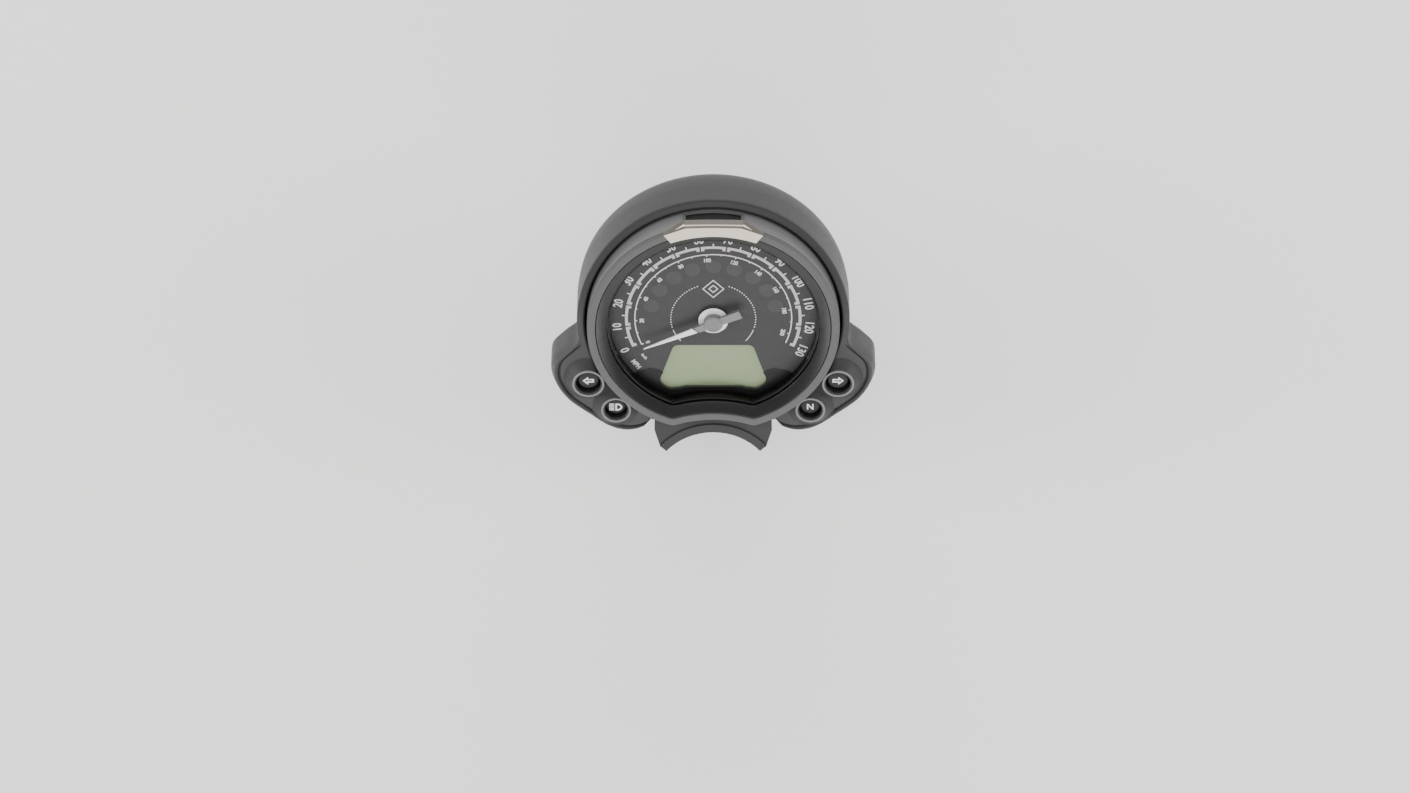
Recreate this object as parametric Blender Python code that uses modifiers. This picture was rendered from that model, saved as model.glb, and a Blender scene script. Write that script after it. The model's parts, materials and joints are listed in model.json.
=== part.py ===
"""Motorcycle instrument cluster: a round gauge with a stepper-driven needle and a liquid-crystal panel, in a
moulded surround with four tell-tale lamps, a lower cowl and a rubber-mounted bracket.

Every size below is in millimetres and the helpers turn it into Blender's metres. Most pieces are made in the
dial's own frame: X to the rider's right, Y towards twelve o'clock, Z out of the dial, with Z = 0 at the bezel's
front. An empty tilts that frame back, and the world's origin is on the bracket's foot, at the yoke.
"""

import math

import bmesh
import bpy
from mathutils import Matrix

MM = 0.001

# Attitude
DIAL_TILT = 36.5  # degrees from level, towards the rider
RAKE = 25.3  # degrees the ignition axis leans back

# Clearances
GAP = 0.3  # between pieces that touch
RUNNING = 0.2  # round a turning shaft
LOOSE = 0.6  # round a piece that drops in

# Facets
RIM_STEPS = 40
BITE_STEPS = 10
SHELL_STEPS = 48
ROUND_STEPS = 16
SMALL_STEPS = 12

# Bezel: a ring with an arched bite out of its bottom
BEZEL_RADIUS = 59.4
BEZEL_WIDTH = 3.9
BEZEL_THICK = 1.6
BITE_DROP = 104.6  # the bite's centre below the dial's
BITE_RADIUS = 52.0

# Gauge housing and what lies in it, front to back
HOUSING_RADIUS = BEZEL_RADIUS + 0.1
HOUSING_BITE = BITE_RADIUS + 1.5
HOUSING_WALL = 2.0
HOUSING_FRONT = -2.0
HOUSING_BACK = -33.0
LEDGE_WIDTH = 6.9
LEDGE_THICK = 1.5
CONE_INNER = BEZEL_RADIUS - 9.4
CONE_DEPTH = 2.5
GLASS_THICK = 1.3
GLASS_TOP = -2.3
SEAL_THICK = 0.6
SEAT_WIDTH = 1.2
DIAL_FACE = -9.5
DIAL_THICK = 1.0
GUIDE_THICK = 2.5
LCD_THICK = 2.0
BOARD_FACE = -21.0
BOARD_THICK = 1.6
REAR_SEAL_THICK = 0.8
COVER_THICK = 2.0

# Liquid-crystal window: half widths and heights in the dial
LCD_TOP = -15.4
LCD_TOP_HALF = 19.0
LCD_SIDE_HALF = 25.5
LCD_SIDE_Y = -35.5
LCD_BOTTOM = -40.6
LCD_ARCH = -38.6
LCD_CORNER = 3.0

# Needle
NEEDLE_REST = 203.75  # degrees anticlockwise from three o'clock: the zero mark
NEEDLE_REACH = 36.2
NEEDLE_ROOT = 8.6
NEEDLE_WIDTH = 3.0
NEEDLE_TIP_WIDTH = 0.6
NEEDLE_TOP = -4.7
NEEDLE_THICK = 0.9
HUB_RADIUS = 4.5
HUB_TOP = -4.1
HUB_BOTTOM = -7.2
TAIL_REACH = 14.0
TAIL_WIDTH = 4.4
ARM_WIDTH = 3.4
DISC_RADIUS = 7.0
DISC_THICK = 0.8

# Stepper motor
MODULE = 0.4
WHEEL_TEETH = 40
PINION_TEETH = 10
WHEEL_THICK = 1.4
STAGE_GAP = 1.2
SECOND_STAGE_ANGLE = 36.0
OUTPUT_SHAFT = 1.2
MIDDLE_SHAFT = 0.9
ROTOR_SHAFT = 0.7
MAGNET_RADIUS = 3.5
MAGNET_LENGTH = 2.2
MOTOR_WALL = 1.0
MOTOR_DEPTH = 9.0
COIL_LENGTH = 8.0
COIL_WIDTH = 4.6
COIL_HEIGHT = 3.6
CORE_WIDTH = 1.8
CORE_THICK = 1.2
STATOR_WIDTH = 1.4

# Surround
SHELL_MOUTH = HOUSING_RADIUS + 1.2
SHELL_RADIUS = SHELL_MOUTH + 3.6
SHELL_WALL = 2.0
LIP_Z = -6.5
LIP_TOP_Z = -15.0
LIP_BEND_Y = 8.0
SHELL_BACK = -50.0
NOTCH_Y = -50.0
EAR_DEPTH = 20.0
EAR_WALL = 2.0
EAR_DRAFT = 1.6  # how much wider each ear is behind its front edge
EAR_DRAFT_DEPTH = 6.0

# Tell-tale tubes: centre x (left side negative), centre y, rim radius, rim height, lens radius
TURN_LAMP = (59.1, -32.6, 7.6, -1.6, 4.8)
SECOND_LAMP = (46.1, -48.9, 7.1, -2.7, 4.25)
TURN_LOBE = 16.6
SECOND_LOBE = 14.5
BOSS_FLARE = 4.6
TUBE_WALL = 1.1
TUBE_LEDGE = 0.5
TUBE_END = -15.0
LENS_SINK = 2.8
LENS_THICK = 2.0
LAMP_BOARD_Z = -17.5
LED_SIDE = 4.4
LED_THICK = 1.4

# Badge and the recess behind it
BADGE_HALF = 23.2
BADGE_CREASE_HALF = 13.2
BADGE_TOP_HALF = 14.2
RECESS_HALF = 14.0
RECESS_DEPTH = 1.0
RECESS_FRONT = -4.5
RECESS_BACK = -13.6

# Rear mounting
BOLT_CIRCLE = 34.0
BOLT_RADIUS = 2.4
BOLT_HEAD = 4.6
BOLT_HEAD_HEIGHT = 3.5
BOSS_RADIUS = 5.0
SCREW_CIRCLE = HOUSING_RADIUS - 6.0
SCREW_RADIUS = 1.5
SCREW_HEAD = 2.9
SCREW_HEAD_HEIGHT = 1.8
POST_RADIUS = 3.0
REAR_OPENING = 17.5
REAR_OPENING_Y = -18.0
GROMMET_RADIUS = 8.5
GROMMET_NECK = 6.0
GROMMET_BORE = 3.8
GROMMET_LENGTH = 10.7
SLEEVE_RADIUS = 3.5
PLATE_THICK = 2.5
PLATE_Z = -56.15  # middle of the bracket's plate
PLATE_LOW_Y = -48.0
FOOT_WIDTH = 50.0
FOOT_HEIGHT = 34.0
FOOT_HOLE = 3.3
FOOT_HOLE_SPACING = 30.0

# Connector
SOCKET_WIDTH = 20.0
SOCKET_HEIGHT = 12.0
SOCKET_END = -46.0
SOCKET_WALL = 1.5
SOCKET_CAVITY = 11.0

# Lower cowl, about the ignition axis
IGNITION_Y = -74.9
IGNITION_Z = -51.5
COWL_BORE = 30.0
COWL_LIP = 34.0
COWL_TIP = (22.0, 19.6)
COWL_CORNER = (28.0, 31.0)
COWL_SHOULDER = (27.9, 36.0)
COWL_REACH = 46.0
COWL_DEPTH = 14.0
COWL_WALL = 2.0
COWL_LIP_RISE = 0.8
TAB_LOW = -22.0
TAB_HIGH = -6.0
TAB_SIDE = COWL_CORNER[0] - GAP
NOTCH_HALF = COWL_CORNER[0] + GAP

PARTS = bpy.data.collections.new("instrument_cluster")
CUTTERS = bpy.data.collections.new("cutters")


def clear_scene():
    for obj in list(bpy.data.objects):
        bpy.data.objects.remove(obj, do_unlink=True)
    for group in (PARTS, CUTTERS):
        bpy.context.scene.collection.children.link(group)


def finish(name, colour, roughness, metallic=0.0):
    material = bpy.data.materials.new(name)
    material.use_nodes = True
    shader = material.node_tree.nodes["Principled BSDF"]
    shader.inputs["Base Color"].default_value = (*colour, 1.0)
    shader.inputs["Roughness"].default_value = roughness
    shader.inputs["Metallic"].default_value = metallic
    return material


def empty(name, location, tilt_degrees, parent=None):
    frame = bpy.data.objects.new(name, None)
    frame.location = [value * MM for value in location]
    frame.rotation_euler.x = math.radians(tilt_degrees)
    frame.parent = parent
    PARTS.objects.link(frame)
    return frame


def add_piece(name, mesh, material, frame, at=(0.0, 0.0)):
    """Links a mesh as a part, or as a hidden cutter where it has no material."""
    piece = bpy.data.objects.new(name, mesh)
    piece.parent = frame
    piece.location = (at[0] * MM, at[1] * MM, 0.0)
    if material:
        mesh.materials.append(material)
        PARTS.objects.link(piece)
    else:
        piece.hide_render = True
        piece.display_type = "WIRE"
        CUTTERS.objects.link(piece)
    return piece


def mesh_of(name, bm):
    bmesh.ops.recalc_face_normals(bm, faces=bm.faces)
    mesh = bpy.data.meshes.new(name)
    bm.to_mesh(mesh)
    bm.free()
    return mesh


def smooth(piece):
    piece.data.shade_smooth()
    piece.data.set_sharp_from_angle(angle=math.radians(35))
    return piece


def polar(radius, degrees):
    angle = math.radians(degrees)
    return (radius * math.cos(angle), radius * math.sin(angle))


def arc(centre, radius, start, end, steps):
    """Points of an arc, in degrees, both ends included."""
    turns = [start + (end - start) * i / steps for i in range(steps + 1)]
    offsets = [polar(radius, turn) for turn in turns]
    return [(centre[0] + x, centre[1] + y) for x, y in offsets]


def circle(centre, radius, steps=ROUND_STEPS):
    return arc(centre, radius, 0, 360, steps)[:-1]


def rectangle(x_low, x_high, y_low, y_high):
    return [(x_low, y_low), (x_high, y_low), (x_high, y_high), (x_low, y_high)]


def bitten_outline(radius, bite):
    """A circle whose bottom is bitten off by a circle of radius bite centred below it."""
    tip_y = (bite**2 - radius**2 - BITE_DROP**2) / (2 * BITE_DROP)
    tip_x = math.sqrt(radius**2 - tip_y**2)
    rim = math.degrees(math.atan2(tip_y, tip_x))
    arch = math.degrees(math.atan2(tip_y + BITE_DROP, tip_x))
    outer = arc((0, 0), radius, rim, 180 - rim, RIM_STEPS)
    return outer + arc((0, -BITE_DROP), bite, 180 - arch, arch, BITE_STEPS)[1:-1]


def face_bite(radius):
    """The bite that keeps an outline parallel to the bezel's."""
    return BITE_RADIUS + BEZEL_RADIUS - radius


def inner_bite(radius):
    """The bite that keeps an outline parallel to the housing's."""
    return HOUSING_BITE + HOUSING_RADIUS - radius


def loft(name, sections, material, frame, hollow=False):
    """Joins outlines of equal counts, each (points, z): with both ends capped, or round a wall's closed section."""
    bm = bmesh.new()
    rings = [[bm.verts.new((x * MM, y * MM, z * MM)) for x, y in points] for points, z in sections]
    pairs = list(zip(rings, rings[1:]))
    if hollow:
        pairs.append((rings[-1], rings[0]))
    else:
        bm.faces.new(rings[0])
        bm.faces.new(reversed(rings[-1]))
    for first, second in pairs:
        for i, corner in enumerate(first):
            after = (i + 1) % len(first)
            bm.faces.new((corner, second[i], second[after], first[after]))
    return smooth(add_piece(name, mesh_of(name, bm), material, frame))


def bitten_loft(name, sections, material, frame, hollow=True):
    """Joins bitten outlines, each (radius, bite, z), as loft does."""
    outlines = [(bitten_outline(radius, bite), z) for radius, bite, z in sections]
    return loft(name, outlines, material, frame, hollow)


def flat_piece(name, loops, z_low, z_high, material, frame, at=(0.0, 0.0)):
    """A flat outline, with holes as further loops, given thickness by a 2D curve and then made a mesh."""
    curve = bpy.data.curves.new(name, "CURVE")
    curve.dimensions = "2D"
    curve.fill_mode = "BOTH"
    curve.extrude = (z_high - z_low) / 2 * MM
    for points in loops:
        spline = curve.splines.new("POLY")
        spline.points.add(len(points) - 1)
        for point, (x, y) in zip(spline.points, points):
            point.co = (x * MM, y * MM, 0.0, 1.0)
        spline.use_cyclic_u = True
    guide = bpy.data.objects.new(name, curve)
    bpy.context.scene.collection.objects.link(guide)
    graph = bpy.context.evaluated_depsgraph_get()
    solid = bpy.data.meshes.new_from_object(guide.evaluated_get(graph))
    bpy.data.objects.remove(guide)
    bpy.data.curves.remove(curve)
    bm = bmesh.new()
    bm.from_mesh(solid)
    bpy.data.meshes.remove(solid)
    bmesh.ops.remove_doubles(bm, verts=bm.verts, dist=1e-6)
    bmesh.ops.translate(bm, verts=bm.verts, vec=(0.0, 0.0, (z_low + z_high) / 2 * MM))
    return add_piece(name, mesh_of(name, bm), material, frame, at)


def turned(name, profile, material, frame, at=(0.0, 0.0), steps=ROUND_STEPS, hollow=True):
    """A profile of (radius, z), down its outer side, turned by a Screw; hollow closes it into a ring."""
    ends = len(profile) if hollow else len(profile) - 1
    mesh = bpy.data.meshes.new(name)
    edges = [(i, (i + 1) % len(profile)) for i in range(ends)]
    mesh.from_pydata([(radius * MM, 0.0, z * MM) for radius, z in profile], edges, [])
    piece = add_piece(name, mesh, material, frame, at)
    screw = piece.modifiers.new("Turn", "SCREW")
    screw.steps = steps
    screw.render_steps = steps
    screw.use_merge_vertices = True
    screw.merge_threshold = 1e-6
    screw.use_smooth_shade = True
    return piece


def rod(name, radius, z_low, z_high, material, frame, at=(0.0, 0.0), steps=ROUND_STEPS, top_radius=None):
    """A cylinder, or a cone where the top's radius is given."""
    bm = bmesh.new()
    top = radius if top_radius is None else top_radius
    middle = Matrix.Translation((0.0, 0.0, (z_low + z_high) / 2 * MM))
    depth = (z_high - z_low) * MM
    bmesh.ops.create_cone(
        bm, cap_ends=True, segments=steps, radius1=radius * MM, radius2=top * MM, depth=depth, matrix=middle
    )
    return smooth(add_piece(name, mesh_of(name, bm), material, frame, at))


def cross_rod(name, radius, x_low, x_high, material, frame, at_yz, steps=SMALL_STEPS):
    """A cylinder lying along X."""
    bm = bmesh.new()
    place = Matrix.Translation(((x_low + x_high) / 2 * MM, at_yz[0] * MM, at_yz[1] * MM))
    place = place @ Matrix.Rotation(math.radians(90), 4, "Y")
    depth = (x_high - x_low) * MM
    bmesh.ops.create_cone(
        bm, cap_ends=True, segments=steps, radius1=radius * MM, radius2=radius * MM, depth=depth, matrix=place
    )
    return smooth(add_piece(name, mesh_of(name, bm), material, frame))


def box(name, low, high, material, frame):
    bm = bmesh.new()
    middle = [(a + b) / 2 * MM for a, b in zip(low, high)]
    size = [(b - a) * MM for a, b in zip(low, high)]
    place = Matrix.Translation(middle) @ Matrix.Diagonal((*size, 1.0))
    bmesh.ops.create_cube(bm, size=1.0, matrix=place)
    return add_piece(name, mesh_of(name, bm), material, frame)


def combine(piece, other, operation):
    step = piece.modifiers.new(other.name, "BOOLEAN")
    step.operation = operation
    step.solver = "EXACT"
    step.object = other
    return piece


def cut(piece, *cutters):
    for cutter in cutters:
        combine(piece, cutter, "DIFFERENCE")
    return piece


def join(piece, *others):
    for other in others:
        combine(piece, other, "UNION")
    return piece


def foot_centre():
    """The middle of the foot's rear face, from the dial's centre, in upright axes."""
    tilt = math.radians(DIAL_TILT)
    bend_y = PLATE_LOW_Y * math.cos(tilt) - PLATE_Z * math.sin(tilt)
    bend_z = PLATE_LOW_Y * math.sin(tilt) + PLATE_Z * math.cos(tilt)
    return (0.0, bend_y - PLATE_THICK / 2, bend_z - FOOT_HEIGHT / 2)


def frames():
    """The upright frame at the dial's centre, the tilted dial frame in it, and the raked cowl frame."""
    foot = foot_centre()
    upright = empty("dial_centre", [-value for value in foot], 0.0)
    dial = empty("dial_frame", (0.0, 0.0, 0.0), DIAL_TILT, upright)
    rake = empty("ignition_frame", (0.0, IGNITION_Y, IGNITION_Z), RAKE, upright)
    return upright, dial, rake


def screw_places():
    return [polar(SCREW_CIRCLE, turn) for turn in (45, 135, 225, 315)]


def bolt_places():
    return [polar(BOLT_CIRCLE, turn) for turn in (90, 210, 330)]


def make_bezel(dial, paint):
    inner = BEZEL_RADIUS - BEZEL_WIDTH
    corners = [(BEZEL_RADIUS, 0), (BEZEL_RADIUS, -BEZEL_THICK), (inner, -BEZEL_THICK), (inner, 0)]
    bitten_loft("bezel_ring", [(r, face_bite(r), z) for r, z in corners], paint, dial)


def make_inner_bezel(dial, plastic):
    """The funnel between bezel and glass, with the seat for the glass and a skirt down to the dial."""
    front = BEZEL_RADIUS - BEZEL_WIDTH - GAP
    skirt = HOUSING_RADIUS - HOUSING_WALL - LOOSE
    seat = GLASS_TOP - GLASS_THICK - SEAL_THICK - 2 * GAP
    bottom = DIAL_FACE + GAP
    shoulder = -BEZEL_THICK - GAP * 3
    bore = CONE_INNER - SEAT_WIDTH
    sections = [(front, face_bite(front), -GAP), (front, face_bite(front), shoulder)]
    sections += [(skirt, inner_bite(skirt), shoulder), (skirt, inner_bite(skirt), bottom)]
    sections += [(bore, face_bite(bore), bottom), (bore, face_bite(bore), seat)]
    sections += [(CONE_INNER, face_bite(CONE_INNER), seat), (CONE_INNER, face_bite(CONE_INNER), -CONE_DEPTH)]
    bitten_loft("inner_bezel", sections, plastic, dial)


def make_glass(dial, glass, rubber):
    edge = CONE_INNER - GAP
    bottom = GLASS_TOP - GLASS_THICK
    sections = [(edge, face_bite(edge), GLASS_TOP), (edge, face_bite(edge), bottom)]
    bitten_loft("glass_lens", sections, glass, dial, hollow=False)
    inner = CONE_INNER - SEAT_WIDTH + GAP / 3
    high = bottom - GAP
    low = high - SEAL_THICK
    corners = [(edge, high), (edge, low), (inner, low), (inner, high)]
    bitten_loft("lens_seal", [(r, face_bite(r), z) for r, z in corners], rubber, dial)


def make_housing(dial, paint):
    inner = HOUSING_RADIUS - HOUSING_WALL
    ledge = inner - LEDGE_WIDTH
    ledge_top = DIAL_FACE - DIAL_THICK - GAP
    ledge_low = ledge_top - LEDGE_THICK
    corners = [(HOUSING_RADIUS, HOUSING_FRONT), (HOUSING_RADIUS, HOUSING_BACK), (inner, HOUSING_BACK)]
    corners += [(inner, ledge_low), (ledge, ledge_low), (ledge, ledge_top), (inner, ledge_top)]
    corners += [(inner, HOUSING_FRONT)]
    housing = bitten_loft("gauge_housing", [(r, inner_bite(r), z) for r, z in corners], paint, dial)
    swing = math.degrees(math.asin(RECESS_HALF / HOUSING_RADIUS))
    floor = HOUSING_RADIUS - RECESS_DEPTH
    sector = arc((0, 0), floor, 90 - swing, 90 + swing, 8) + arc((0, 0), floor + 5, 90 + swing, 90 - swing, 8)
    cut(housing, flat_piece("recess_cutter", [sector], RECESS_BACK, RECESS_FRONT, None, dial))
    post_end = BOARD_FACE + GAP
    for number, place in enumerate(screw_places(), 1):
        post = rod(f"post_{number}", POST_RADIUS, post_end, ledge_low + 0.5, None, dial, place, SMALL_STEPS)
        reach = (post_end - 1, ledge_low - 1)
        bore = rod(f"post_bore_{number}", SCREW_RADIUS + GAP, *reach, None, dial, place, SMALL_STEPS)
        cut(join(housing, post), bore)


def lcd_outline(grow):
    """The window's trapezoid with rounded corners and an arched bottom edge, grown by a margin."""
    top = LCD_TOP + grow
    side = LCD_SIDE_HALF + grow
    bottom = LCD_BOTTOM - grow
    half = LCD_TOP_HALF + grow
    right = [(half - LCD_CORNER, top), (half - 0.7, top - 0.8), (half + 0.6, top - LCD_CORNER)]
    right += [(side, LCD_SIDE_Y + 1.5), (side, LCD_SIDE_Y - 1.5)]
    right += [(side - 2.2, bottom + 1.2), (side - 6.0, bottom)]
    right += [(side - 12.0, (bottom + LCD_ARCH - grow) / 2 + 0.3)]
    left = [(-x, y) for x, y in reversed(right)]
    return right + [(0.0, LCD_ARCH - grow)] + left


def make_dial(dial, printed, clear, lcd, black):
    edge = HOUSING_RADIUS - HOUSING_WALL - LOOSE
    back = DIAL_FACE - DIAL_THICK
    hole = circle((0, 0), OUTPUT_SHAFT + 1.3)
    face = bitten_outline(edge, inner_bite(edge))
    flat_piece("dial_plate", [face, hole, lcd_outline(0)], back, DIAL_FACE, printed, dial)
    guide_edge = edge - LEDGE_WIDTH + LOOSE / 2
    guide = bitten_outline(guide_edge, inner_bite(guide_edge))
    wide_hole = circle((0, 0), OUTPUT_SHAFT + 2.8)
    top = back - GAP
    flat_piece("light_guide", [guide, wide_hole, lcd_outline(1.8)], top - GUIDE_THICK, top, clear, dial)
    flat_piece("lcd_panel", [lcd_outline(1.3)], top - LCD_THICK, top, lcd, dial)
    frame_top = top - GUIDE_THICK - GAP
    walls = [lcd_outline(1.8), lcd_outline(-0.2)]
    flat_piece("lcd_holder", walls, BOARD_FACE + GAP, frame_top, black, dial)


def make_board(dial, board):
    edge = HOUSING_RADIUS - HOUSING_WALL - LOOSE
    loops = [bitten_outline(edge, inner_bite(edge)), circle((0, 0), OUTPUT_SHAFT + 1.3)]
    loops += [circle(place, SCREW_RADIUS + GAP, SMALL_STEPS) for place in screw_places()]
    flat_piece("circuit_board", loops, BOARD_FACE - BOARD_THICK, BOARD_FACE, board, dial)


def gear_outline(teeth, phase=0.0):
    """Straight-flanked short teeth on their pitch circle, with backlash; one tooth is at the phase angle."""
    pitch_radius = MODULE * teeth / 2
    root = pitch_radius - 1.05 * MODULE
    tip = pitch_radius + 0.72 * MODULE
    pitch = 360 / teeth
    points = []
    for tooth in range(teeth):
        middle = phase + tooth * pitch
        points += [polar(root, middle - 0.27 * pitch), polar(tip, middle - 0.11 * pitch)]
        points += [polar(tip, middle + 0.11 * pitch), polar(root, middle + 0.27 * pitch)]
    return points


def gear_centres():
    """Places of the output, middle and rotor shafts."""
    reach = MODULE * (WHEEL_TEETH + PINION_TEETH) / 2
    middle = (0.0, reach)
    step = polar(reach, SECOND_STAGE_ANGLE)
    return (0.0, 0.0), middle, (middle[0] + step[0], middle[1] + step[1])


def make_gears(dial, brass, magnet):
    lid_low = BOARD_FACE - BOARD_THICK - GAP - MOTOR_WALL
    floor = BOARD_FACE - BOARD_THICK - GAP - MOTOR_DEPTH
    shaft_low = floor + GAP
    first_top = lid_low - 0.8
    first_low = first_top - WHEEL_THICK
    second_top = first_low - STAGE_GAP
    second_low = second_top - WHEEL_THICK
    output, middle, last = gear_centres()
    half_tooth = 180 / PINION_TEETH
    wheel = flat_piece("output_wheel", [gear_outline(WHEEL_TEETH)], first_low, first_top, brass, dial, output)
    join(wheel, rod("output_shaft", OUTPUT_SHAFT, shaft_low, HUB_TOP - 1.4, None, dial, output, SMALL_STEPS))
    teeth = [gear_outline(WHEEL_TEETH)]
    wheel = flat_piece("intermediate_wheel", teeth, second_low, second_top, brass, dial, middle)
    pinion = [gear_outline(PINION_TEETH)]
    join(
        wheel,
        flat_piece("middle_pinion", pinion, second_top - 0.4, first_top + 0.2, None, dial, middle),
        rod("middle_shaft", MIDDLE_SHAFT, shaft_low, lid_low + 0.7, None, dial, middle, SMALL_STEPS),
    )
    rotor = rod("rotor", MAGNET_RADIUS, first_top - MAGNET_LENGTH, first_top, magnet, dial, last)
    pinion = [gear_outline(PINION_TEETH, SECOND_STAGE_ANGLE + 180 - half_tooth)]
    join(
        rotor,
        flat_piece("rotor_pinion", pinion, second_low - 0.2, second_top + 0.2, None, dial, last),
        rod("rotor_shaft", ROTOR_SHAFT, shaft_low, lid_low + 0.7, None, dial, last, SMALL_STEPS),
    )


def make_motor(dial, plastic, steel, copper):
    top = BOARD_FACE - BOARD_THICK - GAP
    lid_low = top - MOTOR_WALL
    floor = top - MOTOR_DEPTH
    centres = gear_centres()
    shafts = (OUTPUT_SHAFT, MIDDLE_SHAFT, ROTOR_SHAFT)
    bores = [circle(place, shaft + RUNNING, SMALL_STEPS) for place, shaft in zip(centres, shafts)]
    wheel_reach = MODULE * WHEEL_TEETH / 2 + 1.5
    left = -wheel_reach - MOTOR_WALL
    right = centres[2][0] + MAGNET_RADIUS + 5.5
    low = -wheel_reach - MOTOR_WALL
    high = centres[2][1] + MAGNET_RADIUS + 7.0
    outline = rectangle(left, right, low, high)
    inside = rectangle(left + MOTOR_WALL, right - MOTOR_WALL, low + MOTOR_WALL, high - MOTOR_WALL)
    flat_piece("motor_lid", [outline] + bores, lid_low, top, plastic, dial)
    cup = flat_piece("motor_cup", [outline] + bores, floor, floor + MOTOR_WALL, plastic, dial)
    join(cup, flat_piece("cup_wall", [outline, inside], floor + 0.2, lid_low - GAP, None, dial))
    core_z = lid_low - GAP - COIL_HEIGHT / 2
    core = (core_z - CORE_THICK / 2, core_z + CORE_THICK / 2)
    ring = MAGNET_RADIUS + LOOSE
    outer = ring + STATOR_WIDTH
    x, y = centres[2]
    stator = flat_piece("stator", [circle((x, y), outer), circle((x, y), ring)], *core, steel, dial)
    arm_y = y + outer - 0.4 + CORE_WIDTH / 2
    arm_x = x + outer - 0.4 - CORE_WIDTH / 2 + 0.6
    arm_left = left + MOTOR_WALL + LOOSE
    arm_low = -2.5
    half = CORE_WIDTH / 2
    join(
        stator,
        box("arm_across", (arm_left, arm_y - half, core[0]), (x + 1, arm_y + half, core[1]), None, dial),
        box("arm_down", (arm_x - half, arm_low, core[0]), (arm_x + half, y, core[1]), None, dial),
    )
    wide = COIL_WIDTH / 2
    tall = COIL_HEIGHT / 2
    hole = half + GAP
    slot = CORE_THICK / 2 + GAP
    start = arm_left + 1.2
    end = start + COIL_LENGTH
    corners = (start, arm_y - wide, core_z - tall), (end, arm_y + wide, core_z + tall)
    coil = box("coil_across", *corners, copper, dial)
    cutter = (start - 1, arm_y - hole, core_z - slot), (end + 1, arm_y + hole, core_z + slot)
    cut(coil, box("coil_bore_across", *cutter, None, dial))
    start = arm_low + 1.2
    end = start + COIL_LENGTH
    corners = (arm_x - wide, start, core_z - tall), (arm_x + wide, end, core_z + tall)
    coil = box("coil_down", *corners, copper, dial)
    cutter = (arm_x - hole, start - 1, core_z - slot), (arm_x + hole, end + 1, core_z + slot)
    cut(coil, box("coil_bore_down", *cutter, None, dial))


def along_needle(reach, offset, degrees=NEEDLE_REST):
    """The point this far along the needle and this far to its left."""
    along = polar(reach, degrees)
    across = polar(offset, degrees + 90)
    return (along[0] + across[0], along[1] + across[1])


def make_needle(dial, white, grey):
    half = NEEDLE_WIDTH / 2
    tip = NEEDLE_TIP_WIDTH / 2
    blade = [(NEEDLE_ROOT, -half), (NEEDLE_REACH - 0.5, -tip), (NEEDLE_REACH, 0)]
    blade += [(NEEDLE_REACH - 0.5, tip), (NEEDLE_ROOT, half)]
    outline = [along_needle(*point) for point in blade]
    flat_piece("needle_blade", [outline], NEEDLE_TOP - NEEDLE_THICK, NEEDLE_TOP, white, dial)
    shaft_room = OUTPUT_SHAFT + GAP / 3
    bore_top = HUB_TOP - 1.1
    profile = [(0, HUB_TOP), (HUB_RADIUS - 0.6, HUB_TOP), (HUB_RADIUS, HUB_TOP - 0.6)]
    profile += [(HUB_RADIUS, HUB_BOTTOM)]
    profile += [(shaft_room, HUB_BOTTOM), (shaft_room, bore_top), (0, bore_top)]
    hub = turned("needle_hub", profile, grey, dial, hollow=False)
    tail = TAIL_WIDTH / 2
    arm = ARM_WIDTH / 2
    root = NEEDLE_ROOT - GAP
    bar = [(root, -arm), (root, arm), (3.0, arm + 0.3), (3.0, -arm - 0.3)]
    flat = (NEEDLE_TOP - NEEDLE_THICK - 0.4, NEEDLE_TOP + 0.1)
    join(hub, flat_piece("hub_arm", [[along_needle(*point) for point in bar]], *flat, None, dial))
    bar = [(-3.0, -arm - 0.3), (-3.0, arm + 0.3), (-TAIL_REACH, tail), (-TAIL_REACH, -tail)]
    join(hub, flat_piece("hub_tail", [[along_needle(*point) for point in bar]], *flat, None, dial))
    top = HUB_BOTTOM - GAP
    loops = [circle((0, 0), DISC_RADIUS, 32), circle((0, 0), OUTPUT_SHAFT + GAP, SMALL_STEPS)]
    flat_piece("needle_disc", loops, top - DISC_THICK, top, white, dial)


def badge_points():
    """Corners of the faceted badge: front plate low, crease, and the facet that runs back over the wall."""
    rim_y = math.sqrt((BEZEL_RADIUS + 0.6) ** 2 - BADGE_HALF**2)
    points = [(BADGE_HALF, rim_y, 0.9), (BADGE_HALF, rim_y, -1.2), (19.8, 51.0, 0.9), (19.8, 51.0, -1.2)]
    points += [(BADGE_CREASE_HALF, 59.8, 1.5), (BADGE_TOP_HALF, 61.3, -3.2), (BADGE_TOP_HALF, 51.0, -3.2)]
    points += [(0.0, 51.0, 0.9), (0.0, 51.0, -3.2)]
    return points + [(-x, y, z) for x, y, z in points if x]


def make_badge(dial, cream):
    bm = bmesh.new()
    corners = [bm.verts.new((x * MM, y * MM, z * MM)) for x, y, z in badge_points()]
    hull = bmesh.ops.convex_hull(bm, input=corners)
    bmesh.ops.delete(bm, geom=hull["geom_interior"], context="VERTS")
    badge = add_piece("badge", mesh_of("badge", bm), cream, dial)
    seat = rod("badge_seat", HOUSING_RADIUS + GAP, -20, GAP, None, dial, steps=RIM_STEPS * 2)
    arch = rod("badge_arch", BEZEL_RADIUS - BEZEL_WIDTH - 1.2, -30, 20, None, dial, steps=RIM_STEPS * 2)
    cut(badge, seat, arch)


def mirrored(outline):
    return [(-x, y) for x, y in reversed(outline)]


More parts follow.
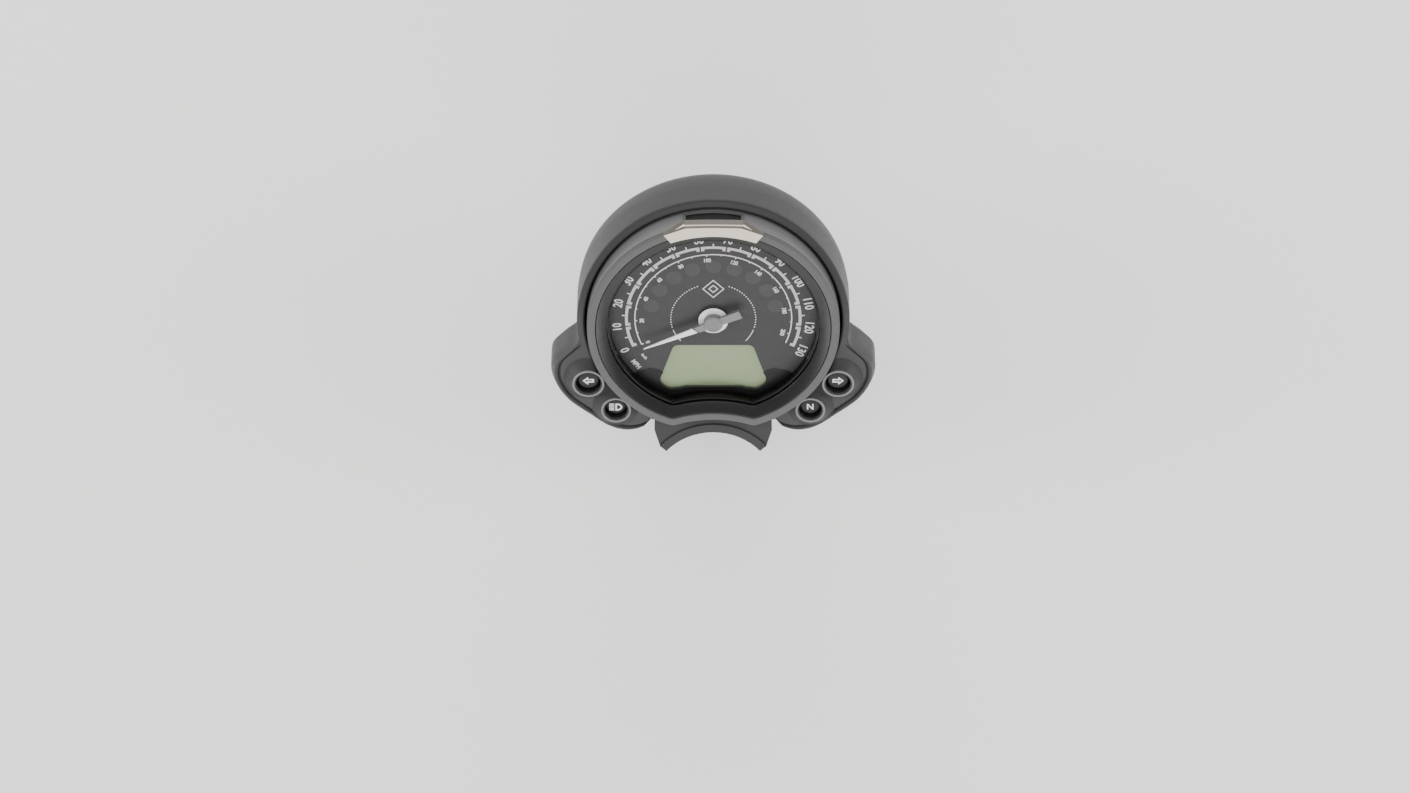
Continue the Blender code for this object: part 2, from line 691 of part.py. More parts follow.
def ear_outline(draft):
    """The right ear, grown outwards by the draft, from the shell above round both lamps to the notch below."""
    turn = TURN_LAMP[:2]
    second = SECOND_LAMP[:2]
    upper = [(40.0, -10.0), (60.0, -9.0 + draft / 2), (63.6 + draft / 2, -13.9 + draft / 2)]
    upper += [(68.5 + draft, -18.8 + draft / 2)]
    outer = arc(turn, TURN_LOBE + draft, 34, -33, 6)
    lower = arc(second, SECOND_LOBE + draft / 4, -46, -98, 5)
    return upper + outer + lower + [(35.8, -62.0), (29.4, -58.3), (27.5, -50.0), (36.0, -40.0)]


def lamp_room(grow=0.0):
    """The space inside the right ear, open towards the middle."""
    outer = arc(TURN_LAMP[:2], TURN_LOBE - EAR_WALL - 1.0 + grow, 40, -30, 5)
    lower = arc(SECOND_LAMP[:2], SECOND_LOBE - EAR_WALL - 1.0 + grow, -50, -80, 3)
    return [(54.0, -18.0)] + outer + lower + [(38.0, -50.0)]


def lamps():
    """Name, centre and sizes of every tell-tale lamp."""
    found = []
    for side, sign in (("left", -1), ("right", 1)):
        for kind, size in (("turn", TURN_LAMP), (("beam" if sign < 0 else "neutral"), SECOND_LAMP)):
            name = f"{kind}_{side}" if kind == "turn" else kind
            found.append((name, (sign * size[0], size[1]), *size[2:]))
    return found


def shell_profile():
    outer = [(0, LIP_Z + 1.0), (SHELL_RADIUS - 1.6, LIP_Z + 1.0), (SHELL_RADIUS, LIP_Z - 2.0)]
    outer += [(SHELL_RADIUS, -27.0)]
    outer += [(SHELL_RADIUS - 0.5, -32.5), (SHELL_RADIUS - 1.4, -37.5), (SHELL_RADIUS - 3.8, -42.0)]
    return outer + [(SHELL_RADIUS - 7.8, -46.5), (SHELL_RADIUS - 14.3, SHELL_BACK), (0, SHELL_BACK)]


def room_profile():
    """The space inside the shell, a wall's thickness in from its outer side."""
    behind = SHELL_RADIUS - SHELL_WALL
    inner = [(0, 6.0), (SHELL_MOUTH, 6.0), (SHELL_MOUTH, -22.0), (behind, -24.0), (behind, -27.5)]
    inner += [(behind - 0.6, -32.2), (behind - 1.5, -36.6), (behind - 3.9, -40.8)]
    floor = SHELL_BACK + SHELL_WALL
    return inner + [(behind - 7.6, -44.8), (behind - 13.0, floor), (0, floor)]


def make_surround(dial, plastic):
    surround = turned("surround", shell_profile(), plastic, dial, steps=SHELL_STEPS, hollow=False)
    ear_back = LIP_Z - EAR_DEPTH
    room = (ear_back + EAR_WALL, LIP_Z - EAR_WALL)
    ears = [(ear_outline(EAR_DRAFT), ear_back), (ear_outline(EAR_DRAFT), LIP_Z - EAR_DRAFT_DEPTH)]
    ears += [(ear_outline(0.0), LIP_Z)]
    join(surround, loft("ear_right", ears, None, dial))
    join(surround, loft("ear_left", [(mirrored(points), z) for points, z in ears], None, dial))
    for name, place, rim, rim_z, _ in lamps():
        boss_top = rim_z - TUBE_LEDGE - GAP - 0.2
        reach = (LIP_Z - 0.5, boss_top)
        boss = rod(f"{name}_boss", rim + BOSS_FLARE, *reach, None, dial, place, top_radius=rim + 0.2)
        join(surround, boss)
    # Above the bend the lip slopes back; in front of the ears nothing of the shell stands proud.
    slope = (LIP_TOP_Z - LIP_Z) / (SHELL_RADIUS - LIP_BEND_Y)
    far = 80.0
    lip = LIP_Z + slope * (far - LIP_BEND_Y)
    bm = bmesh.new()
    near = LIP_BEND_Y - 30
    section = [(near, LIP_Z + 0.01), (LIP_BEND_Y, LIP_Z), (far, lip), (far, 10), (near, 10)]
    side = [[bm.verts.new((x * MM, y * MM, z * MM)) for y, z in section] for x in (-90.0, 90.0)]
    bm.faces.new(side[0])
    bm.faces.new(reversed(side[1]))
    for i in range(len(section)):
        after = (i + 1) % len(section)
        bm.faces.new((side[0][i], side[1][i], side[1][after], side[0][after]))
    slice_off = add_piece("lip_cutter", mesh_of("lip_cutter", bm), None, dial)
    shell_room = turned("shell_room", room_profile(), None, dial, steps=SHELL_STEPS, hollow=False)
    cut(surround, slice_off, shell_room)
    for side, outline in (("left", mirrored(lamp_room())), ("right", lamp_room())):
        cut(surround, flat_piece(f"room_{side}", [outline], *room, None, dial))
    for name, place, rim, _, lens in lamps():
        cut(surround, rod(f"{name}_bore", tube_radius(lens) + LOOSE, room[0] + 4, 6, None, dial, place))
    cut(surround, box("notch", (-NOTCH_HALF, -90, -70), (NOTCH_HALF, NOTCH_Y, 10), None, dial))
    cut(surround, rod("rear_opening", REAR_OPENING, -60, -40, None, dial, (0, REAR_OPENING_Y), 32))
    for number, place in enumerate(bolt_places(), 1):
        hole = rod(f"shell_hole_{number}", BOLT_RADIUS + LOOSE, -60, -40, None, dial, place, SMALL_STEPS)
        cut(surround, hole)
    for sign, side in ((-1, "left"), (1, "right")):
        x = sorted((sign * (NOTCH_HALF + GAP), sign * (NOTCH_HALF + 8)))
        block = box(f"tab_block_{side}", (x[0], -61, TAB_LOW), (x[1], -54.6, -10), None, dial)
        bore_x = sorted((sign * (NOTCH_HALF - 2), sign * (NOTCH_HALF + 6.5)))
        bore = cross_rod(f"tab_bore_{side}", SCREW_RADIUS + GAP, *bore_x, None, dial, tab_screw())
        cut(join(surround, block), bore)


def tab_screw():
    """Height and depth of the cowl's screws."""
    return (-57.8, (TAB_LOW - 10) / 2)


def tube_radius(lens):
    """Outer radius of the tube round a lens: the lens overlaps its ledge, and fits in the bore with a gap."""
    return lens + 0.5 + GAP + TUBE_WALL


def make_lamps(dial, rim_plastic, clear, board, white):
    for name, place, rim, rim_z, lens in lamps():
        outer = tube_radius(lens)
        bore = outer - TUBE_WALL
        seat = rim_z - LENS_SINK + GAP
        profile = [(rim, rim_z), (rim, rim_z - TUBE_LEDGE), (outer, rim_z - TUBE_LEDGE), (outer, TUBE_END)]
        profile += [(bore, TUBE_END), (bore, seat), (lens, seat), (lens, seat + 0.3), (rim - 1.1, rim_z)]
        turned(f"tube_{name}", profile, rim_plastic, dial, place)
        lens_top = rim_z - LENS_SINK
        rod(f"lens_{name}", bore - GAP, lens_top - LENS_THICK, lens_top, clear, dial, place)
        side = LED_SIDE / 2
        low = (place[0] - side, place[1] - side, LAMP_BOARD_Z + GAP)
        high = (place[0] + side, place[1] + side, LAMP_BOARD_Z + GAP + LED_THICK)
        box(f"led_{name}", low, high, white, dial)
    for sign, side in ((-1, "left"), (1, "right")):
        ends = [(sign * TURN_LAMP[0], TURN_LAMP[1]), (sign * SECOND_LAMP[0], SECOND_LAMP[1])]
        turn = math.degrees(math.atan2(ends[1][1] - ends[0][1], ends[1][0] - ends[0][0]))
        outline = arc(ends[0], 6.5, turn + 90, turn + 270, 8) + arc(ends[1], 6.5, turn - 90, turn + 90, 8)
        flat_piece(f"lamp_board_{side}", [outline], LAMP_BOARD_Z - BOARD_THICK, LAMP_BOARD_Z, board, dial)


def make_rear(dial, plastic, rubber, steel, black):
    seal_top = HOUSING_BACK - GAP
    seal_low = seal_top - REAR_SEAL_THICK
    outer = HOUSING_RADIUS - 0.2
    inner = HOUSING_RADIUS - HOUSING_WALL + 0.2
    corners = [(outer, seal_top), (outer, seal_low), (inner, seal_low), (inner, seal_top)]
    bitten_loft("rear_seal", [(r, inner_bite(r), z) for r, z in corners], rubber, dial)
    top = seal_low - GAP
    back = top - COVER_THICK
    half_x = SOCKET_WIDTH / 2 + GAP
    half_y = SOCKET_HEIGHT / 2 + GAP
    slot = rectangle(-half_x, half_x, REAR_OPENING_Y - half_y, REAR_OPENING_Y + half_y)
    vent_place = (22.0, 12.0)
    loops = [bitten_outline(HOUSING_RADIUS, HOUSING_BITE), slot, circle(vent_place, 3.0 + GAP, SMALL_STEPS)]
    cover = flat_piece("rear_cover", loops, back, top, plastic, dial)
    boss_end = SHELL_BACK + SHELL_WALL + GAP
    for number, place in enumerate(screw_places(), 1):
        board_back = BOARD_FACE - BOARD_THICK - GAP
        post = rod(f"cover_post_{number}", POST_RADIUS, top - 0.5, board_back, None, dial, place, SMALL_STEPS)
        reach = (back - 1, board_back + 1)
        bore = rod(f"cover_bore_{number}", SCREW_RADIUS + GAP, *reach, None, dial, place, SMALL_STEPS)
        cut(join(cover, post), bore)
        profile = [(0, back - GAP - SCREW_HEAD_HEIGHT), (SCREW_HEAD, back - GAP - SCREW_HEAD_HEIGHT)]
        profile += [(SCREW_HEAD, back - GAP), (SCREW_RADIUS, back - GAP), (SCREW_RADIUS, -16.0), (0, -16.0)]
        profile.reverse()
        turned(f"housing_screw_{number}", profile, steel, dial, place, SMALL_STEPS, hollow=False)
    for number, place in enumerate(bolt_places(), 1):
        boss = rod(f"bolt_boss_{number}", BOSS_RADIUS, boss_end, back + 0.5, None, dial, place, SMALL_STEPS)
        reach = (boss_end - 1, back - 1.5)
        bore = rod(f"boss_bore_{number}", BOLT_RADIUS + GAP, *reach, None, dial, place, SMALL_STEPS)
        cut(join(cover, boss), bore)
    socket_top = BOARD_FACE - BOARD_THICK - GAP
    half_x -= GAP
    half_y -= GAP
    low = (-half_x, REAR_OPENING_Y - half_y, SOCKET_END)
    socket = box("connector_socket", low, (half_x, REAR_OPENING_Y + half_y, socket_top), black, dial)
    low = (SOCKET_WALL - half_x, REAR_OPENING_Y - half_y + SOCKET_WALL, SOCKET_END - 5)
    high = (half_x - SOCKET_WALL, REAR_OPENING_Y + half_y - SOCKET_WALL, SOCKET_END + SOCKET_CAVITY)
    cut(socket, box("socket_mouth", low, high, None, dial))
    profile = [(0, top + 1.5), (3.6, top + 1.5), (3.6, top + GAP), (3.0, top + GAP), (3.0, back - GAP)]
    profile += [(4.4, back - GAP), (4.4, back - 2.4), (0, back - 2.4)]
    turned("breather_vent", profile, black, dial, vent_place, SMALL_STEPS, hollow=False)


def make_mounting(dial, upright, steel, rubber):
    plate = (PLATE_Z - PLATE_THICK / 2, PLATE_Z + PLATE_THICK / 2)
    half = FOOT_WIDTH / 2
    right = [(12.0, 46.0), (40.5, -8.0), (40.5, -24.0), (half, -32.0), (half, PLATE_LOW_Y)]
    loops = [right + [(-x, y) for x, y in reversed(right)]]
    loops += [circle((0, REAR_OPENING_Y), REAR_OPENING - 1.5, 24)]
    loops += [circle(place, GROMMET_NECK + GAP, ROUND_STEPS) for place in bolt_places()]
    bracket = flat_piece("mounting_bracket", loops, *plate, steel, dial)
    centre = foot_centre()
    low = (-half, centre[1], centre[2] - FOOT_HEIGHT / 2)
    high = (half, centre[1] + PLATE_THICK, centre[2] + FOOT_HEIGHT / 2 + PLATE_THICK / 2)
    join(bracket, box("foot", low, high, None, upright))
    for sign, side in ((-1, "left"), (1, "right")):
        bm = bmesh.new()
        place = Matrix.Translation((sign * FOOT_HOLE_SPACING / 2 * MM, centre[1] * MM, centre[2] * MM))
        place = place @ Matrix.Rotation(math.radians(90), 4, "X")
        radius = FOOT_HOLE * MM
        bmesh.ops.create_cone(
            bm, cap_ends=True, segments=16, radius1=radius, radius2=radius, depth=20 * MM, matrix=place
        )
        cut(bracket, add_piece(f"foot_hole_{side}", mesh_of("foot_hole", bm), None, upright))
    top = SHELL_BACK - GAP
    flange = (PLATE_THICK + 2 * GAP) / 2
    half_length = GROMMET_LENGTH / 2
    sleeve_low = PLATE_Z - half_length - GAP
    for number, point in enumerate(bolt_places(), 1):
        profile = [(GROMMET_RADIUS, half_length), (GROMMET_RADIUS, flange), (GROMMET_NECK, flange)]
        profile += [(GROMMET_NECK, -flange), (GROMMET_RADIUS, -flange), (GROMMET_RADIUS, -half_length)]
        profile += [(GROMMET_BORE, -half_length), (GROMMET_BORE, half_length)]
        profile = [(radius, PLATE_Z + z) for radius, z in profile]
        turned(f"grommet_{number}", profile, rubber, dial, point)
        bore = BOLT_RADIUS + GAP
        profile = [(SLEEVE_RADIUS, top), (SLEEVE_RADIUS, sleeve_low), (bore, sleeve_low), (bore, top)]
        turned(f"sleeve_{number}", profile, steel, dial, point, SMALL_STEPS)
        head = sleeve_low - GAP
        bolt = rod(f"mount_bolt_{number}", BOLT_HEAD, head - BOLT_HEAD_HEIGHT, head, steel, dial, point, 6)
        join(bolt, rod(f"bolt_shank_{number}", BOLT_RADIUS, head - 1, -39.5, None, dial, point, SMALL_STEPS))


def cowl_outline(inset=0.0):
    """The fan between the gauge and the ignition lock, on the right and mirrored to the left."""
    bore = arc((0, 0), COWL_BORE + inset, 90 - 48, 90 + 48, 16)
    tip_x, tip_y = COWL_TIP
    right = [(COWL_CORNER[0] - inset, COWL_CORNER[1]), (COWL_SHOULDER[0] - inset, COWL_SHOULDER[1])]
    right += [(COWL_SHOULDER[0] - inset, COWL_REACH - inset)]
    if not inset:
        right = [(COWL_LIP * math.cos(math.radians(42)), COWL_LIP * math.sin(math.radians(42)) - 0.6)] + right
    left = [(-x, y) for x, y in reversed(right)]
    return bore[::-1] + right + left


def make_cowl(dial, rake, plastic, steel):
    cowl = flat_piece("lower_cowl", [cowl_outline()], -COWL_DEPTH, 0, plastic, rake)
    lip = arc((0, 0), COWL_LIP, 42, 138, 16) + arc((0, 0), COWL_BORE, 138, 42, 16)
    join(cowl, flat_piece("cowl_lip", [lip], -COWL_DEPTH, COWL_LIP_RISE, None, rake))
    cut(cowl, flat_piece("cowl_room", [cowl_outline(COWL_WALL)], -COWL_DEPTH - 5, -COWL_WALL, None, rake))
    for sign, side in ((-1, "left"), (1, "right")):
        x = sorted((sign * (TAB_SIDE - COWL_WALL), sign * TAB_SIDE))
        join(cowl, box(f"tab_{side}", (x[0], -61, TAB_LOW), (x[1], -54.2, TAB_HIGH), None, dial))
    outer = HOUSING_RADIUS + LOOSE
    bite = HOUSING_BITE - LOOSE
    room = bitten_loft("gauge_room", [(outer, bite, 8), (outer, bite, -60)], None, dial, hollow=False)
    cut(cowl, room)
    seat = TAB_SIDE - COWL_WALL - GAP
    reach = (NOTCH_HALF + 6, seat, seat - SCREW_HEAD_HEIGHT)
    for sign, side in ((-1, "left"), (1, "right")):
        hole = sorted((sign * 20, sign * 30))
        cut(cowl, cross_rod(f"tab_hole_{side}", SCREW_RADIUS + GAP, *hole, None, dial, tab_screw()))
        shank = sorted((sign * (reach[1] - 1), sign * reach[0]))
        head = sorted((sign * reach[2], sign * reach[1]))
        screw = cross_rod(f"cowl_screw_{side}", SCREW_HEAD, *head, steel, dial, tab_screw())
        join(screw, cross_rod(f"cowl_shank_{side}", SCREW_RADIUS, *shank, None, dial, tab_screw()))


def main():
    clear_scene()
    upright, dial, rake = frames()
    satin = finish("satin_black", (0.10, 0.10, 0.10), 0.45)
    bezel = finish("bezel_paint", (0.19, 0.19, 0.19), 0.42)
    plastic = finish("moulded_plastic", (0.05, 0.05, 0.05), 0.55)
    black = finish("black_plastic", (0.012, 0.012, 0.012), 0.6)
    rubber = finish("rubber", (0.02, 0.02, 0.02), 0.85)
    glass = finish("glass", (0.8, 0.8, 0.8), 0.05)
    steel = finish("zinc_steel", (0.55, 0.55, 0.55), 0.35, 1.0)
    brass = finish("gear_plastic", (0.75, 0.73, 0.68), 0.5)
    white = finish("needle_white", (0.9, 0.9, 0.88), 0.4)
    board = finish("board_green", (0.03, 0.15, 0.06), 0.5)
    make_bezel(dial, bezel)
    make_inner_bezel(dial, plastic)
    make_glass(dial, glass, rubber)
    make_housing(dial, satin)
    printed = finish("dial_print", (0.09, 0.09, 0.09), 0.6)
    make_dial(dial, printed, glass, finish("lcd", (0.34, 0.37, 0.29), 0.3), black)
    make_board(dial, board)
    make_gears(dial, brass, finish("magnet", (0.1, 0.1, 0.11), 0.4, 0.6))
    make_motor(dial, black, steel, finish("copper_wire", (0.7, 0.3, 0.15), 0.35, 1.0))
    make_needle(dial, white, finish("hub_grey", (0.29, 0.29, 0.29), 0.5))
    make_badge(dial, finish("badge_cream", (0.66, 0.62, 0.54), 0.35))
    make_surround(dial, plastic)
    make_lamps(dial, finish("tube_grey", (0.16, 0.16, 0.16), 0.45), glass, board, white)
    make_rear(dial, plastic, rubber, steel, black)
    make_mounting(dial, upright, steel, rubber)
    make_cowl(dial, rake, plastic, steel)


main()
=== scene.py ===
import json
import math

import bmesh
import bpy
import numpy as np
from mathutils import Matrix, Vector


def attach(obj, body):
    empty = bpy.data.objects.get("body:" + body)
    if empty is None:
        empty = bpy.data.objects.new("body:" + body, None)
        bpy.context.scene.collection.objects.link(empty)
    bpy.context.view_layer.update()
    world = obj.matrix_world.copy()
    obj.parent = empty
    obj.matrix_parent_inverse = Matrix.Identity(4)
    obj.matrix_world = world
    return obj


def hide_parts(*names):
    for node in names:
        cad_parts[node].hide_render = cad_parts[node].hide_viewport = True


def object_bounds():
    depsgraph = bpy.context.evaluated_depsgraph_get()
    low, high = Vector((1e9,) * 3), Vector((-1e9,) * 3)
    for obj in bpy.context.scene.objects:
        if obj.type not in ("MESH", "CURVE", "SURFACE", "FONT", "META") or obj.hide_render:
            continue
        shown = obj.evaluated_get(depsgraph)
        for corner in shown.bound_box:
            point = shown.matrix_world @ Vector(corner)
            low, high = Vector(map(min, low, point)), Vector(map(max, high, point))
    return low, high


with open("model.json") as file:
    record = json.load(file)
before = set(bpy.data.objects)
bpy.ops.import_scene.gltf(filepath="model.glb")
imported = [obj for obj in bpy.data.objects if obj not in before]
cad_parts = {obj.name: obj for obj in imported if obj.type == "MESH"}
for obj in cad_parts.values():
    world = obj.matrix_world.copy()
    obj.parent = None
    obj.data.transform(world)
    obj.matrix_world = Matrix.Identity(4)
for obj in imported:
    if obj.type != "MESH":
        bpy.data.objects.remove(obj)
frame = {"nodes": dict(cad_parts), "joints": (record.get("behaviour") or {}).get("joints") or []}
cadBox = [list(corner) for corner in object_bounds()]
nodes = frame["nodes"]
print("frame loaded,", len(nodes), "nodes")

# The dial's own frame, in millimetres: x to the right, y to twelve o'clock, z out of the bezel's front.
mm = 0.001
sweep = next(joint for joint in frame["joints"] if joint["name"] == "needle_sweep")
dialCentre = np.array(sweep["pos_m"])
outOfDial = -np.array(sweep["axis"])
tiltSin, tiltCos = -outOfDial[1], outOfDial[2]


def place(points):
    # dial millimetres to metres: turned back about x by the dial's tilt, then moved to its centre
    x, y, z = np.moveaxis(np.asarray(points, float), -1, 0) * mm
    return np.stack([x, y * tiltCos - z * tiltSin, y * tiltSin + z * tiltCos], -1) + dialCentre


def polar(radius, angle, z=0.0):
    # circle of the radius at each angle in radians, at height z
    return np.stack(np.broadcast_arrays(radius * np.cos(angle), radius * np.sin(angle), z), -1)


nearlyHalf = 0.48  # the longest share of a side that a rounded corner takes


def fillet(corners, radius, steps=5, closed=True):
    # each corner becomes a quadratic curve between the points one radius before and after it
    corners = np.asarray(corners, float)
    before, after = np.roll(corners, 1, 0) - corners, np.roll(corners, -1, 0) - corners
    radius = np.broadcast_to(radius, len(corners))[:, None]

    def stepTowards(way):
        return way * np.minimum(radius / np.linalg.norm(way, axis=1, keepdims=True), nearlyHalf)

    start, end = corners + stepTowards(before), corners + stepTowards(after)
    if not closed:
        start[[0, -1]] = end[[0, -1]] = corners[[0, -1]]
    t = np.linspace(0, 1, steps)[:, None, None]
    return ((1 - t) ** 2 * start + 2 * t * (1 - t) * corners + t**2 * end).transpose(1, 0, 2).reshape(-1, 2)


def gridFaces(rows, columns, wrapRows=False, wrapColumns=True):
    # quads between neighbours of a rows by columns grid, joined round where a way wraps
    row = np.arange(rows if wrapRows else rows - 1)[:, None]
    column = np.arange(columns if wrapColumns else columns - 1)[None, :]
    nextRow, nextColumn = (row + 1) % rows, (column + 1) % columns
    corners = [row * columns + column, row * columns + nextColumn]
    corners += [nextRow * columns + nextColumn, nextRow * columns + column]
    return np.stack(np.broadcast_arrays(*corners), -1).reshape(-1, 4)


def surface(grid, wrapRows=False, wrapColumns=True, capEnds=False):
    # a grid of points as (points, quads, caps); a cap is one flat face on the first and last row
    rows, columns = grid.shape[:2]
    faces = gridFaces(rows, columns, wrapRows, wrapColumns)
    caps = [np.arange(columns), (rows - 1) * columns + np.arange(columns)[::-1]] if capEnds else []
    return grid.reshape(-1, 3), faces, caps


mergeDistance = 1e-7  # metres


def piece(name, surfaces, material, body="cluster", stands=(), smoothAngle=35, move=place):
    # joins surfaces in one mesh where move puts them, each turned so that its volume is positive
    whole = bmesh.new()
    for points, quads, caps in surfaces if isinstance(surfaces, list) else [surfaces]:
        part = bpy.data.meshes.new(name)
        part.from_pydata(move(points), [], [list(face) for face in [*quads, *caps]])
        closed = bmesh.new()
        closed.from_mesh(part)
        bmesh.ops.remove_doubles(closed, verts=closed.verts, dist=mergeDistance)
        bmesh.ops.recalc_face_normals(closed, faces=closed.faces)
        if closed.calc_volume(signed=True) < 0:
            bmesh.ops.reverse_faces(closed, faces=closed.faces)
        closed.to_mesh(part)
        closed.free()
        whole.from_mesh(part)
        bpy.data.meshes.remove(part)
    mesh = bpy.data.meshes.new(name)
    whole.to_mesh(mesh)
    whole.free()
    mesh.shade_smooth()
    mesh.set_sharp_from_angle(angle=math.radians(smoothAngle))
    made = bpy.data.objects.new(name, mesh)
    bpy.context.scene.collection.objects.link(made)
    mesh.materials.append(material)
    return settle(made, body, stands)


def settle(made, body, stands):
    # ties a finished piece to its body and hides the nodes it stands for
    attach(made, body)
    if stands:
        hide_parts(*([stands] if isinstance(stands, str) else stands))
    return made


def eased(made, width, segments=3, angle=32):
    # rounds the sharp edges of a piece
    bevel = made.modifiers.new("Ease", "BEVEL")
    bevel.width = width * mm
    bevel.segments = segments
    bevel.limit_method = "ANGLE"
    bevel.angle_limit = math.radians(angle)
    return made


def turned(profile, centre=(0.0, 0.0), steps=64, closed=True):
    # a profile of (radius, z) turned about the upright line through the centre
    profile = np.asarray(profile, float)
    angle = np.linspace(0, 2 * np.pi, steps, endpoint=False)
    grid = polar(profile[:, None, 0], angle[None, :], profile[:, None, 1]) + np.array([*centre, 0.0])
    return surface(grid, wrapRows=closed, capEnds=not closed)


def meshArrays(guide):
    # the points and faces of a curve or text, in millimetres, and removes it
    bpy.context.scene.collection.objects.link(guide)
    graph = bpy.context.evaluated_depsgraph_get()
    mesh = bpy.data.meshes.new_from_object(guide.evaluated_get(graph))
    points = np.empty(len(mesh.vertices) * 3, np.float32)
    mesh.vertices.foreach_get("co", points)
    faces = [np.array(face.vertices) for face in mesh.polygons]
    curve = guide.data
    bpy.data.objects.remove(guide)
    bpy.data.curves.remove(curve)
    bpy.data.meshes.remove(mesh)
    return points.reshape(-1, 3).astype(float), [], faces


def flatShape(loops, low, high):
    # flat outlines, the inner ones holes, given thickness from low to high
    curve = bpy.data.curves.new("outline", "CURVE")
    curve.dimensions = "2D"
    curve.fill_mode = "BOTH"
    curve.extrude = (high - low) / 2
    for loop in loops:
        loop = np.asarray(loop, float)
        spline = curve.splines.new("POLY")
        spline.points.add(len(loop) - 1)
        flat = np.column_stack([loop[:, :2], np.zeros(len(loop)), np.ones(len(loop))])
        spline.points.foreach_set("co", flat.ravel())
        spline.use_cyclic_u = True
    points, quads, faces = meshArrays(bpy.data.objects.new("outline", curve))
    points[:, 2] += (low + high) / 2
    return points, quads, faces


def lettering(text, size, radius, angle, z, squeeze=1.0, spin=None, bold=0.09):
    # generic characters standing on a circle, their tops pointing outwards unless spin in degrees is given,
    # each stroke made wider by twice bold
    curve = bpy.data.curves.new("characters", "FONT")
    curve.body = text
    curve.size = size
    curve.align_x = "CENTER"
    curve.align_y = "CENTER"
    curve.extrude = 0.03
    curve.offset = bold
    curve.resolution_u = 3
    points, quads, faces = meshArrays(bpy.data.objects.new("characters", curve))
    points[:, 0] *= squeeze
    turn = np.radians(angle - 90 if spin is None else spin)
    x = points[:, 0] * np.cos(turn) - points[:, 1] * np.sin(turn)
    y = points[:, 0] * np.sin(turn) + points[:, 1] * np.cos(turn)
    middle = polar(radius, np.radians(angle))
    return np.column_stack([x + middle[0], y + middle[1], points[:, 2] + z]), quads, faces


def arcStrip(inner, outer, start, end, low, high, steps):
    # a flat strip between two radii, which may change along it, from one angle in degrees to another
    angle = np.radians(np.linspace(start, end, steps))
    inner, outer = np.broadcast_to(inner, steps), np.broadcast_to(outer, steps)
    rows = [polar(inner, angle, low), polar(inner, angle, high)]
    rows += [polar(outer, angle, high), polar(outer, angle, low)]
    return surface(np.stack(rows, 1), capEnds=True)


displayGamma = 2.2


def tone(red, green, blue):
    # display values from 0 to 255 as linear colour
    return tuple((np.array([red, green, blue]) / 255) ** displayGamma)


noiseScales = dict(colour=(120, 4), gloss=(420, 3), bumpDetail=2)


def finishOf(name, colour, roughness, grain=(900, 0.02), mottle=0.025, metallic=0.0, spread=0.03, shine=0.4):
    # fine bumps of grain (noise scale, height in mm), a broad drift of colour by the mottle's share
    # and a middling drift of roughness by the spread, all from noise in object space
    material = bpy.data.materials.new(name)
    material.use_nodes = True
    tree = material.node_tree
    shader = tree.nodes["Principled BSDF"]
    shader.inputs["Metallic"].default_value = metallic
    shader.inputs["Specular IOR Level"].default_value = shine
    space = tree.nodes.new("ShaderNodeTexCoord")

    def noise(scale, detail):
        cloud = tree.nodes.new("ShaderNodeTexNoise")
        cloud.inputs["Scale"].default_value = scale
        cloud.inputs["Detail"].default_value = detail
        tree.links.new(space.outputs["Object"], cloud.inputs["Vector"])
        return cloud.outputs["Fac"]

    drift = tree.nodes.new("ShaderNodeMix")
    drift.data_type = "RGBA"
    drift.inputs["A"].default_value = (*[c * (1 - mottle) for c in colour], 1)
    drift.inputs["B"].default_value = (*[min(c * (1 + mottle), 1) for c in colour], 1)
    tree.links.new(noise(*noiseScales["colour"]), drift.inputs["Factor"])
    tree.links.new(drift.outputs["Result"], shader.inputs["Base Color"])
    gloss = tree.nodes.new("ShaderNodeMapRange")
    gloss.inputs["From Min"].default_value = 0.3
    gloss.inputs["From Max"].default_value = 0.7
    gloss.inputs["To Min"].default_value = max(roughness - spread, 0.02)
    gloss.inputs["To Max"].default_value = min(roughness + spread, 1.0)
    tree.links.new(noise(*noiseScales["gloss"]), gloss.inputs["Value"])
    tree.links.new(gloss.outputs["Result"], shader.inputs["Roughness"])
    bump = tree.nodes.new("ShaderNodeBump")
    bump.inputs["Strength"].default_value = 0.6
    bump.inputs["Distance"].default_value = grain[1] * mm
    tree.links.new(noise(grain[0], noiseScales["bumpDetail"]), bump.inputs["Height"])
    tree.links.new(bump.outputs["Normal"], shader.inputs["Normal"])
    return material


